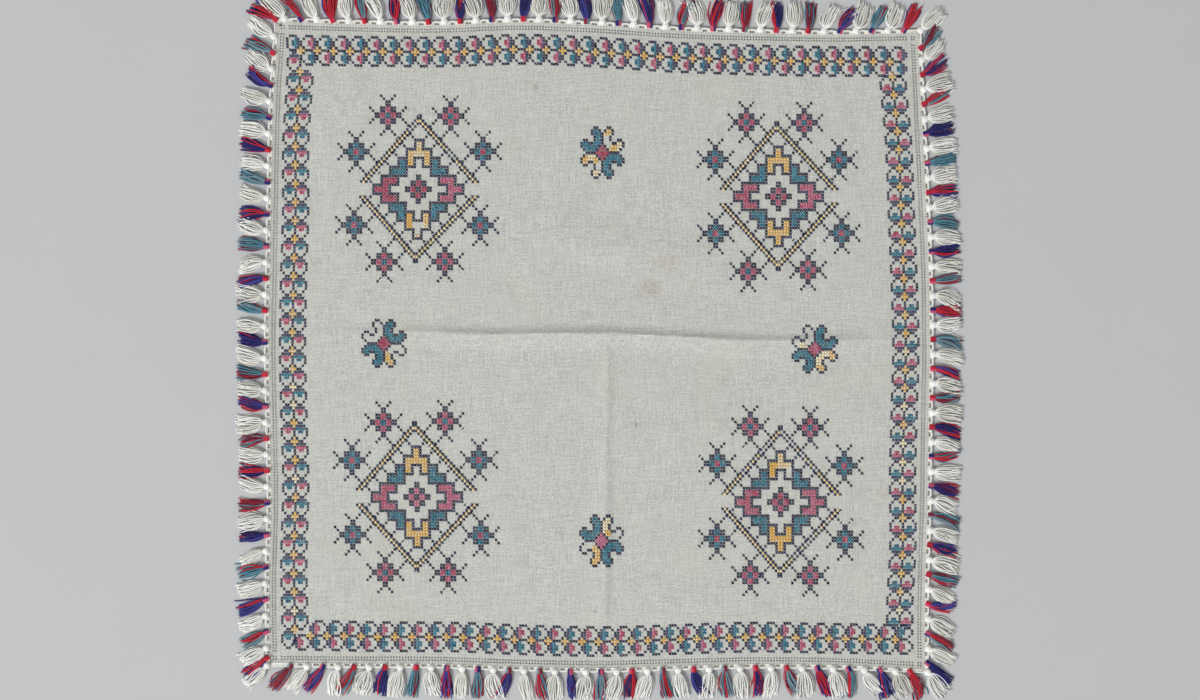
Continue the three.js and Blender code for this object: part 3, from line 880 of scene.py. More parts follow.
@dataclass
class ClothSheet:
    """The cloth itself, with its narrow hem and two rows of drawn holes round its margin."""

    form: ClothForm
    finish: CottonFinish = field(default_factory=CottonFinish)
    depths: tuple[float, ...] = (0, 0.6, 1.5, 2.2, 3.4, 4.2, 5.4, 8.0)
    hole_rows: tuple[int, ...] = (3, 5)
    hem_rise: tuple[float, ...] = (0.05, 0.3, 0.28, 0.08, 0.0, 0.0, 0.0, 0.0)
    hole_pitch: float = 2.22
    hole_width: float = 1.2
    hole_jitter: float = 0.12
    sharp_angle: float = 50.0
    centre_gap: float = 2.2
    coarse: float = 3.35
    crease_step: float = 1.15
    crease_rows: Vector2 = (-4.0, 20.0)
    crease_columns: Vector2 = (-4.0, 14.0)

    def _margin_lines(self, length: float) -> tuple[np.ndarray, np.ndarray, np.ndarray]:
        """Works out the margin's lines along one direction.

        Args:
            length: The cloth's length that way.

        Returns:
            The lines' places, which cells between them lie in a row of holes that runs across this direction,
            and which cells are as wide as a hole.
        """
        depth = np.array(self.depths)
        inner = length - 2 * depth[-1]
        count = round(inner / self.hole_pitch)
        pitch = inner / count
        starts = depth[-1] + (np.arange(count) + 0.5) * pitch - self.hole_width / 2
        fine = np.stack([starts, starts + self.hole_width], axis=-1).ravel()
        lines = np.concatenate([depth, fine, length - depth[::-1]])
        cells = len(lines) - 1
        bands = len(depth) - 1
        in_row = np.zeros(cells, bool)
        for band in self.hole_rows:
            in_row[band] = True
            in_row[cells - 1 - band] = True
        as_hole = in_row.copy()
        as_hole[bands + 1:cells - bands:2] = True
        return lines, in_row, as_hole

    def _centre_lines(self, length: float, crease: Vector2, middle: float) -> np.ndarray:
        """Works out the middle's lines along one direction, close together over a crease.

        Args:
            length: The cloth's length that way.
            crease: Where the crease starts and ends, from the cloth's middle.
            middle: The cloth's middle along the lines.

        Returns:
            The lines' places.
        """
        start = self.depths[-1] + self.centre_gap
        low, high = middle + crease[0], middle + crease[1]
        before = np.linspace(start, low, round((low - start) / self.coarse) + 1)
        over = np.linspace(low, high, round((high - low) / self.crease_step) + 1)
        after = np.linspace(high, length - start, round((length - start - high) / self.coarse) + 1)
        return np.concatenate([before, over[1:], after[1:]])

    @staticmethod
    def _zip(outer: np.ndarray, inner: np.ndarray, flip: bool) -> np.ndarray:
        """Joins two rows of points by triangles.

        Args:
            outer: Point numbers of the finer row.
            inner: Point numbers of the coarser row.
            flip: Whether the faces turn the other way.

        Returns:
            The triangles.
        """
        found = []
        i = j = 0
        while i < len(outer) - 1 or j < len(inner) - 1:
            step_outer = (i + 1) / (len(outer) - 1) <= (j + 1) / (len(inner) - 1) or j == len(inner) - 1
            if step_outer and i < len(outer) - 1:
                found.append((outer[i], inner[j], outer[i + 1]))
                i += 1
            else:
                found.append((outer[i], inner[j], inner[j + 1]))
                j += 1
        made = np.array(found)
        return made[:, ::-1] if flip else made

    def build(self) -> bpy.types.Object:
        """Builds the cloth.

        Returns:
            The cloth's object.
        """
        form = self.form
        draw = np.random.default_rng(SEED + 1)
        across, row_x, hole_x = self._margin_lines(form.width)
        down, row_y, hole_y = self._margin_lines(form.height)
        bands = len(self.depths) - 1
        grid_x, grid_y = np.meshgrid(across, down, indexing="ij")
        ids = np.arange(grid_x.size).reshape(grid_x.shape)
        rim_x = np.zeros(len(across) - 1, bool)
        rim_x[:bands] = rim_x[-bands:] = True
        rim_y = np.zeros(len(down) - 1, bool)
        rim_y[:bands] = rim_y[-bands:] = True
        cloth = rim_x[:, None] | rim_y[None, :]
        holes = (row_x[:, None] & hole_y[None, :]) | (hole_x[:, None] & row_y[None, :])
        solid = cloth & ~holes
        quads = [grid_quads(ids)[solid]]
        rise = self._hem_rise(grid_x, form.width)
        rise = np.maximum(rise, self._hem_rise(grid_y, form.height))
        loose = self._loose(grid_x, form.width) & self._loose(grid_y, form.height)
        grid_x = grid_x + draw.uniform(-1, 1, grid_x.shape) * self.hole_jitter * loose
        grid_y = grid_y + draw.uniform(-1, 1, grid_y.shape) * self.hole_jitter * loose
        middle = form.place(np.array([0.5]), np.array([0.5]))[0]
        crease_rows = (-self.crease_rows[1] + middle[1], -self.crease_rows[0] + middle[1])
        crease_columns = (self.crease_columns[0] - middle[0], self.crease_columns[1] - middle[0])
        centre_x, centre_y = np.meshgrid(self._centre_lines(form.width, crease_columns, form.width / 2),
                                         self._centre_lines(form.height, crease_rows, form.height / 2),
                                         indexing="ij")
        centre = np.arange(centre_x.size).reshape(centre_x.shape) + ids.size
        quads.append(grid_quads(centre).reshape(-1, 4))
        first, last_x, last_y = bands, len(across) - 1 - bands, len(down) - 1 - bands
        zips = [
            self._zip(ids[first:last_x + 1, first], centre[:, 0], False),
            self._zip(ids[first:last_x + 1, last_y], centre[:, -1], True),
            self._zip(ids[first, first:last_y + 1], centre[0, :], True),
            self._zip(ids[last_x, first:last_y + 1], centre[-1, :], False),
        ]
        u = np.concatenate([grid_x.ravel(), centre_x.ravel()])
        v = np.concatenate([grid_y.ravel(), centre_y.ravel()])
        flat = form.place(u / form.width, v / form.height)
        low = form.bottom(flat[:, 0], flat[:, 1])
        high = low + form.thickness + np.concatenate([rise.ravel(), np.zeros(centre_x.size)])
        faces = [np.concatenate(quads), np.concatenate(zips)]
        pile = Pile(form.shift)
        add_thick(pile, flat, low, high, faces)
        made = pile.build("cloth_sheet", self.finish.make(form.shift))
        made.data.set_sharp_from_angle(angle=math.radians(self.sharp_angle))
        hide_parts("cloth")
        return made

    def _hem_rise(self, lines: np.ndarray, length: float) -> np.ndarray:
        """Gives how far the folded hem stands up at a depth from either side."""
        depth = np.minimum(lines, length - lines)
        return np.interp(depth, self.depths, self.hem_rise)

    def _loose(self, lines: np.ndarray, length: float) -> np.ndarray:
        """Says which lines may shift a little: those of the holes, not the edges."""
        depth = np.minimum(lines, length - lines)
        return depth > self.depths[1]


class Thread(Enum):
    """The embroidery threads, each with its finish."""

    # Each finish: slot, deep and pale colour, strand half width, level share and the painted shade at the
    # strand ends.
    NAVY = ThreadFinish("navy_thread", (0.004, 0.004, 0.03), (0.09, 0.11, 0.27), 0.5, 0.52, 0.2)
    TEAL = ThreadFinish("teal_thread", (0.004, 0.13, 0.23), (0.07, 0.46, 0.62), 0.52, 0.56, 1.2)
    PINK = ThreadFinish("pink_thread", (0.54, 0.018, 0.10), (0.93, 0.33, 0.52), 0.52, 0.56, 1.15)
    YELLOW = ThreadFinish("yellow_thread", (0.99, 0.58, 0.08), (0.99, 0.90, 0.68), 0.52, 0.62, 0.85, rim=0.35)
    STRAW = ThreadFinish("straw_thread", (0.86, 0.66, 0.30), (0.97, 0.89, 0.68), 0.76, 0.6, 1.4, rim=0.35)

    @property
    def label(self) -> str:
        """Gives the thread's name as the pieces have it."""
        return self.name.lower()


class Cross(Enum):
    """How much of a cross stitch shows."""

    WHOLE = (True, True)
    RISING = (True, False)
    FALLING = (False, True)


@dataclass
class StitchBook:
    """All the cross stitches of the cloth, gathered by thread and then sewn in one go."""

    form: ClothForm
    bold: float = 1.25
    reach: float = 1.16
    under_height: float = 0.16
    over_height: float = 0.42
    sunk: float = 0.25
    wander: float = 0.1
    # Painted light: the over strand is painted paler and the under strand deeper, for the light on one and
    # the shade under it.
    over_lit_under_shaded: float = 0.14
    fade_spread: float = 0.2
    middle_wander: float = 0.6
    width_spread: Vector2 = (0.85, 1.15)
    sides: int = 3
    flat: float = 0.8
    lone_half_share: float = 0.08

    def __post_init__(self) -> None:
        """Starts with an empty book."""
        self.draw = np.random.default_rng(SEED + 2)
        self.rows: dict[Thread, list[tuple]] = {thread: [] for thread in Thread}

    def add(self, thread: Thread, place: Sequence[float], column: Sequence[float], row: Sequence[float],
            fade: float = 0.4, cross: Cross = Cross.WHOLE) -> None:
        """Notes one cross stitch at a place, with the steps to the next ones beside and above it."""
        self.rows[thread].append((*place, *column, *row, fade, *cross.value))

    def lone(self) -> Cross:
        """Draws the look of a cross that stands by itself: now and then only half of it shows.

        Returns:
            How much of it shows.
        """
        if self.draw.random() > self.lone_half_share:
            return Cross.WHOLE
        return Cross.RISING if self.draw.random() < 0.5 else Cross.FALLING

    def sew(self) -> list[bpy.types.Object]:
        """Makes one piece for each thread.

        Returns:
            The pieces.
        """
        made = []
        for thread, rows in self.rows.items():
            table = np.array(rows, float)
            pile = Pile(self.form.shift)
            for over, shown in ((False, table[:, 7] > 0), (True, table[:, 8] > 0)):
                self._add_strands(pile, table[shown], over, thread.value)
            piece = pile.build(f"stitches_{thread.label}", thread.value.make())
            made.append(piece)
            LOG.info("%s: %d crosses", thread.label, len(table))
        return made

    def _add_strands(self, pile: Pile, table: np.ndarray, over: bool, finish: ThreadFinish) -> None:
        """Adds one of the two strands of every cross.

        Args:
            pile: Where they go.
            table: The stitches.
            over: Whether this strand lies over the other.
            finish: The thread's finish, which has its measures.
        """
        count = len(table)
        column, row = table[:, 2:4], table[:, 4:6]
        half = (row - column if over else row + column) / 2
        middle = table[:, 0:2] + self.draw.uniform(-1, 1, (count, 2)) * self.wander * self.middle_wander
        ends = np.stack([middle - half, middle + half], axis=1)
        ends += self.draw.uniform(-1, 1, ends.shape) * self.wander
        inner = middle[:, None] + (ends - middle[:, None]) * finish.level
        ends = middle[:, None] + (ends - middle[:, None]) * self.reach
        rise = self.over_height if over else self.under_height
        height = self.form.top(inner[..., 0], inner[..., 1]) + rise
        path = np.concatenate([inner, height[..., None]], axis=-1)
        root = self.form.top(ends[..., 0], ends[..., 1]) - self.sunk
        tips = np.concatenate([ends, root[..., None]], axis=-1)
        alone = np.where(table[:, 7] * table[:, 8] > 0, 1.0, self.bold)
        width = self.draw.uniform(*self.width_spread, count)
        radius = (finish.half * alone * width)[:, None] * np.ones((1, 2))
        # Painted light and shade on the two strands of a cross.
        paler = self.over_lit_under_shaded if over else -self.over_lit_under_shaded
        fade = np.clip(table[:, 6] + paler + self.draw.normal(0, self.fade_spread, count), 0, 1)
        # The sunk ends get painted shade through the finish's end darkening.
        add_tubes(pile, path, radius, self.sides, tips, self.flat, finish.end_shade * finish.half, fade=fade)


Cells = dict[tuple[int, int], tuple[Thread, float]]
NAVY_LINE = (Thread.NAVY, 0.2)


def cell_index(count: int, sign: int) -> int:
    """Turns a count of cells from a middle line into a cell's number on either side of it."""
    return count if sign > 0 else -1 - count


def four_ways() -> Iterator[tuple[int, int]]:
    """Gives the signs of the four quarters.

    Yields:
        1 or -1 across, and 1 or -1 up.
    """
    for across in (1, -1):
        for up in (1, -1):
            yield across, up


@dataclass(frozen=True)
class StarForm:
    """A small star of crosses, ten cells wide and high."""

    petal: Thread
    heart: Thread
    petal_fade: float = 0.35
    heart_fade: float = 0.2

    def cells(self) -> Cells:
        """Gives the star's cells round its middle.

        Returns:
            The cells of all four quarters.
        """
        parts = (
            ((0, 3), (0, 4), (3, 0), (4, 0), (1, 1), (1, 2), (2, 1), (2, 2)), NAVY_LINE), (
            ((0, 1), (0, 2), (1, 0), (2, 0)), (self.petal, self.petal_fade)), (
            ((0, 0),), (self.heart, self.heart_fade))
        return {(cell_index(a, across), cell_index(b, up)): dye
                for across, up in four_ways() for places, dye in parts for a, b in places}


@dataclass(frozen=True)
class Worn:
    """Worn crosses: from one cell to another, both counted in, and how pale, or none if gone."""

    columns: tuple[int, int]
    rows: tuple[int, int]
    fade: Optional[float] = None


@dataclass(frozen=True)
class Rail:
    """One arm of a medallion's diamond: its sign upwards, its ends in cells and where its straw is gone."""

    up: int
    start: Vector2
    end: Vector2
    gone: tuple[int, ...] = ()
    crosses: int = 23
    cap_rise: float = 0.8

    def spots(self) -> Iterator[tuple[Thread, np.ndarray]]:
        """Gives each cross: one beyond the tip, then an outer navy line, a straw one and an inner navy one.

        Yields:
            Its thread, and its place in cells from the medallion's middle.
        """
        yield Thread.NAVY, np.array(self.start) + (0, self.cap_rise * self.up)
        for inward, (thread, spare) in enumerate(((Thread.NAVY, 0), (Thread.STRAW, 1), (Thread.NAVY, 2))):
            for k in range(self.crosses - spare):
                if thread is Thread.STRAW and k in self.gone:
                    continue
                share = k / (self.crosses - 1)
                place = np.array(self.start) * (1 - share) + np.array(self.end) * share
                yield thread, place - (0, inward * self.up)


TIP_DROP = 0.7


def rails_between(top: Vector2, bottom: Vector2, ends: Sequence[Vector2],
                  gone: Optional[dict[tuple[int, int], tuple[int, ...]]] = None) -> tuple[Rail, ...]:
    """Lays the four rails of a diamond.

    Args:
        top: Its upper tip, in cells from the medallion's middle.
        bottom: Its lower tip.
        ends: The outer ends in the order of the quarters.
        gone: By the quarter's signs, the straw crosses that are worn away.

    Returns:
        The rails.
    """
    found = []
    for (across, up), end in zip(four_ways(), ends):
        tip = top if up > 0 else bottom
        start = (tip[0] + 0.5 * across, tip[1] - TIP_DROP * up)
        found.append(Rail(up, start, end, (gone or {}).get((across, up), ())))
    return tuple(found)


@dataclass(frozen=True)
class Medallion:
    """A large diamond motif: a stepped ring round a star, a railed diamond and eight stars outside it.

    pink_stars and teal_stars hold the middles of the stars, in cells from the medallion's own.
    """

    pixel: Vector2
    pitch: Vector2
    rails: tuple[Rail, ...]
    pink_stars: tuple[Vector2, ...]
    teal_stars: tuple[Vector2, ...]
    lean: float = 0.0
    heart_fade: float = 0.3
    left_fade: float = 0.3
    right_fade: float = 0.6
    yellow_top_fade: float = 0.25
    yellow_bottom_fade: float = 0.25
    worn: tuple[Worn, ...] = ()
    ring_corners: tuple[tuple[int, int], ...] = ((16, 1), (13, 4), (10, 7), (7, 10), (4, 13), (1, 16))

    @staticmethod
    def _block() -> list[tuple[int, int]]:
        """Gives the cells of the ring's upper block in one quarter.

        Returns:
            Its stem, bar and leg.
        """
        stem = [(0, b) for b in (13, 14, 15)]
        bar = [(a, b) for a in range(4) for b in (11, 12)]
        leg = [(a, b) for a in (2, 3) for b in (8, 9, 10)]
        return stem + bar + leg

    @staticmethod
    def _elbow() -> list[tuple[int, int]]:
        """Gives the cells of the ring's elbow between two blocks in one quarter."""
        arm = [(a, b) for a in range(5, 10) for b in (5, 6)]
        return arm + [(a, b) for a in (5, 6) for b in (7, 8, 9)]

    def _ring(self) -> Cells:
        """Gives the stepped ring with its navy outline.

        Returns:
            Its cells.
        """
        found: Cells = {}
        for across, up in four_ways():
            yellow = self.yellow_top_fade if up > 0 else self.yellow_bottom_fade
            pink = self.right_fade if across > 0 else self.left_fade
            for a, b in self._block():
                cell = (cell_index(a, across), cell_index(b, up))
                found[cell] = (Thread.YELLOW, yellow)
                found[(cell_index(b, across), cell_index(a, up))] = (Thread.PINK, pink)
            for a, b in self._elbow():
                found[(cell_index(a, across), cell_index(b, up))] = (Thread.TEAL, 0.4)
        coloured = set(found)
        for i, j in coloured:
            for across in (-1, 0, 1):
                for up in (-1, 0, 1):
                    if (i + across, j + up) not in coloured:
                        found[(i + across, j + up)] = (Thread.NAVY, 0.25)
        for patch in self.worn:
            for i in range(patch.columns[0], patch.columns[1] + 1):
                for j in range(patch.rows[0], patch.rows[1] + 1):
                    if (i, j) in coloured and patch.fade is None:
                        found.pop((i, j), None)
                    elif (i, j) in coloured:
                        found[(i, j)] = (found[(i, j)][0], patch.fade)
        return found

    def _links(self) -> Cells:
        """Gives the short lines from the ring's corners out to the rails."""
        return {(cell_index(a + step, across), cell_index(b + step, up)): NAVY_LINE
                for across, up in four_ways() for a, b in self.ring_corners for step in (1, 2)}

    def sew(self, book: StitchBook) -> None:
        """Notes the medallion's stitches.

        Args:
            book: Where they go.
        """
        heart = StarForm(Thread.PINK, Thread.NAVY, self.heart_fade, 0.2).cells()
        for found, lone in ((self._ring(), False), (heart, False), (self._links(), True)):
            self._note(book, found, (0.0, 0.0), lone, self.lean)
        for rail in self.rails:
            for thread, (a, b) in rail.spots():
                self._note(book, {(0, 0): (thread, 0.3)}, (a - 0.5, b - 0.5), thread is Thread.NAVY)
        for stars, star in ((self.pink_stars, StarForm(Thread.PINK, Thread.TEAL)),
                            (self.teal_stars, StarForm(Thread.TEAL, Thread.PINK))):
            for place in stars:
                self._note(book, star.cells(), place, False)
                self._note(book, self._arms(*np.sign(place)), place, True)

    @staticmethod
    def _arms(across: float, up: float) -> Cells:
        """Gives the eight arms of a star; those that face the rail are longer.

        Args:
            across: 1 for a star to the right of the medallion's middle and -1 for one to its left.
            up: 1 for a star above it and -1 for one below it.

        Returns:
            Their cells.
        """
        found: Cells = {}
        for side, rise in four_ways():
            steps = 3 if side == -across and rise == -up else 2
            for step in range(steps):
                near, far = 1 + step, 5 + step
                found[(cell_index(near, side), cell_index(far, rise))] = (Thread.NAVY, 0.1)
                found[(cell_index(far, side), cell_index(near, rise))] = (Thread.NAVY, 0.1)
        return found

    def _note(self, book: StitchBook, found: Cells, place: Vector2, lone: bool, lean: float = 0.0) -> None:
        """Notes a set of cells.

        Args:
            book: Where they go.
            found: The cells.
            place: Where their own middle lies, in cells.
            lone: Whether a cross may show only in half.
            lean: How far each row lies to the right of the one below it, in cells.
        """
        column = np.array([self.pitch[0], 0.0])
        row = np.array([lean * self.pitch[0], self.pitch[1]])
        for (i, j), (thread, fade) in found.items():
            spot = from_pixel(self.pixel) + (i + 0.5 + place[0]) * column + (j + 0.5 + place[1]) * row
            book.add(thread, spot, column, row, fade, book.lone() if lone else Cross.WHOLE)


@dataclass(frozen=True)
class Dye:
    """A thread in one part of a petal, with how pale it is there."""

    thread: Thread
    fade: float


TEAL_FILL = Dye(Thread.TEAL, 0.4)
YELLOW_FILL = Dye(Thread.YELLOW, 0.3)
CREAM_FILL = Dye(Thread.STRAW, 0.9)


@dataclass(frozen=True)
class Petal:
    """What fills a flower's petal: its upright arm, corner and level arm, and each arm's end."""

    upright_end: Optional[Dye] = None
    upright: Optional[Dye] = None
    corner: Optional[Dye] = None
    level: Optional[Dye] = None
    level_end: Optional[Dye] = None

    def at(self, a: int, b: int) -> Optional[Dye]:
        """Gives the dye of a cell of the petal.

        Args:
            a: The cell's count from the flower's middle along the level arm.
            b: Its count along the upright arm.

        Returns:
            The dye, or none where the cloth shows.
        """
        if a == b or (a, b) in ((2, 3), (3, 2), (3, 4), (4, 3)):
            return self.corner
        if b > a:
            return self.upright_end if b >= 6 else self.upright
        return self.level_end if a >= 6 else self.level


def whole(dye: Dye) -> Petal:
    """Gives a petal that is filled all over."""
    return Petal(dye, dye, dye, dye, dye)


@dataclass(frozen=True)
class Flower:
    """A pinwheel flower of four forked petals."""

    pixel: Vector2
    pitch: Vector2
    petals: dict[tuple[int, int], Petal]
    heart_fade: float = 0.3
    outline: tuple[tuple[int, int], ...] = (
        (7, 1), (8, 2), (8, 3), (7, 4), (6, 4), (5, 3), (4, 3), (3, 4), (3, 5), (4, 6), (4, 7), (3, 8),
        (2, 8), (1, 7))

    @staticmethod
    def _fill() -> list[tuple[int, int]]:
        """Gives the cells inside a petal's outline.

        Returns:
            The cells.
        """
        upright = [(1, b) for b in range(3, 7)] + [(2, b) for b in range(2, 8)] + [(3, 6), (3, 7)]
        level = [(a, 1) for a in range(3, 7)] + [(a, 2) for a in range(3, 8)] + [(3, 3), (6, 3), (7, 3)]
        return upright + level

    def sew(self, book: StitchBook) -> None:
        """Notes the flower's stitches.

        Args:
            book: Where they go.
        """
        found: Cells = {}
        for (across, up), petal in self.petals.items():
            for a, b in self._fill():
                dye = petal.at(a, b)
                if dye is not None:
                    found[(a * across, b * up)] = (dye.thread, dye.fade)
            for a, b in self.outline:
                found[(a * across, b * up)] = (Thread.NAVY, 0.15)
        for step in range(3, 7):
            for cell in ((step, 0), (-step, 0), (0, step), (0, -step)):
                found[cell] = NAVY_LINE
        for c in range(-3, 4):
            for r in range(-3, 4):
                if abs(c) + abs(r) <= 3:
                    rim = abs(c) + abs(r) == 3
                    found[(c, r)] = NAVY_LINE if rim else (Thread.PINK, self.heart_fade)
        centre = from_pixel(self.pixel)
        column, row = np.array([self.pitch[0], 0.0]), np.array([0.0, self.pitch[1]])
        for (c, r), (thread, fade) in found.items():
            book.add(thread, centre + c * column + r * row, column, row, fade)


@dataclass(frozen=True)
class Band:
    """One side of the border: two rows of round balls with a yellow cross at every junction.

    The junctions run clockwise round the cloth. first and last are pixels of the yellow crosses at the ends,
    bend holds the pixels by which the line bends to the right and down at each eighth, outer and inner say
    which balls there are, by the junction before each, and faded names the crosses that are almost gone.
    """

    side: Side
    first: Vector2
    last: Vector2
    crosses: int
    bend_right: tuple[float, ...]
    bend_down: tuple[float, ...]
    outer: tuple[int, int]
    inner: tuple[int, int]
    pink_first: bool
    row_pitch: float
    faded: tuple[int, ...] = ()
    narrow_start: bool = False
    columns: int = 6
    shaded_fade: float = 0.6

    def spot(self, column: float, row: float) -> np.ndarray:
        """Gives the place of a stitch.

        Args:
            column: Its column, counted from the first junction.
            row: Its row, counted outwards from the yellow crosses.

        Returns:
            The x and y.
        """
        share = column / self.columns / (self.crosses - 1)
        pixel = np.array(self.first) * (1 - share) + np.array(self.last) * share
        pixel += np.array([through_values(self.bend_right, share), through_values(self.bend_down, share)])
        return from_pixel(pixel) + self.side.outward * row * self.row_pitch

    def _ball(self, found: Cells, junction: int, way: int, dye: Thread) -> None:
        """Notes the cells of one ball.

        Args:
            found: Where they go.
            junction: The junction before it.
            way: 1 in the outer row and -1 in the inner one.
            dye: Its coloured thread.
        """
        start = junction * self.columns
        skipped = 1 if self.narrow_start and junction < 0 and way > 0 else 0
        navy = [(c, r) for c in (2, 3, 4) for r in (5, 0)] + [(c, r) for c in (1, 5) for r in (1, 4)]
        navy += [(c, r) for c in (0, 5, 6) for r in (2, 3)]
        navy += [(1, r) for r in range(1, 5)] if skipped else []
        for c, r in navy:
            if c >= skipped:
                found[(start + c, way * r)] = (Thread.NAVY, self.shaded_fade) if c >= 5 else NAVY_LINE
        for c, r in [(3, 2), (3, 3)] + [(4, r) for r in range(1, 5)]:
            found[(start + c, way * r)] = (dye, 0.15 if c == 3 else 0.55)

    def sew(self, book: StitchBook) -> None:
        """Notes the band's stitches.

        Args:
            book: Where they go.
        """
        found: Cells = {}
        for way, (begin, end) in ((1, self.outer), (-1, self.inner)):
            for junction in range(begin, end + 1):
                pink = (junction % 2 == 0) == (self.pink_first == (way > 0))
                self._ball(found, junction, way, Thread.PINK if pink else Thread.TEAL)
        for junction in range(self.crosses):
            dye = (Thread.STRAW, 0.95) if junction in self.faded else (Thread.YELLOW, 0.25)
            middle = junction * self.columns
            for c, r in ((0, 0), (1, 0), (-1, 0), (0, 1), (0, -1)):
                found[(middle + c, r)] = dye
        for (column, row), (thread, fade) in found.items():
            here = self.spot(column, row)
            step = self.spot(column + 0.5, row) - self.spot(column - 0.5, row)
            book.add(thread, here, step, self.side.outward * self.row_pitch, fade)


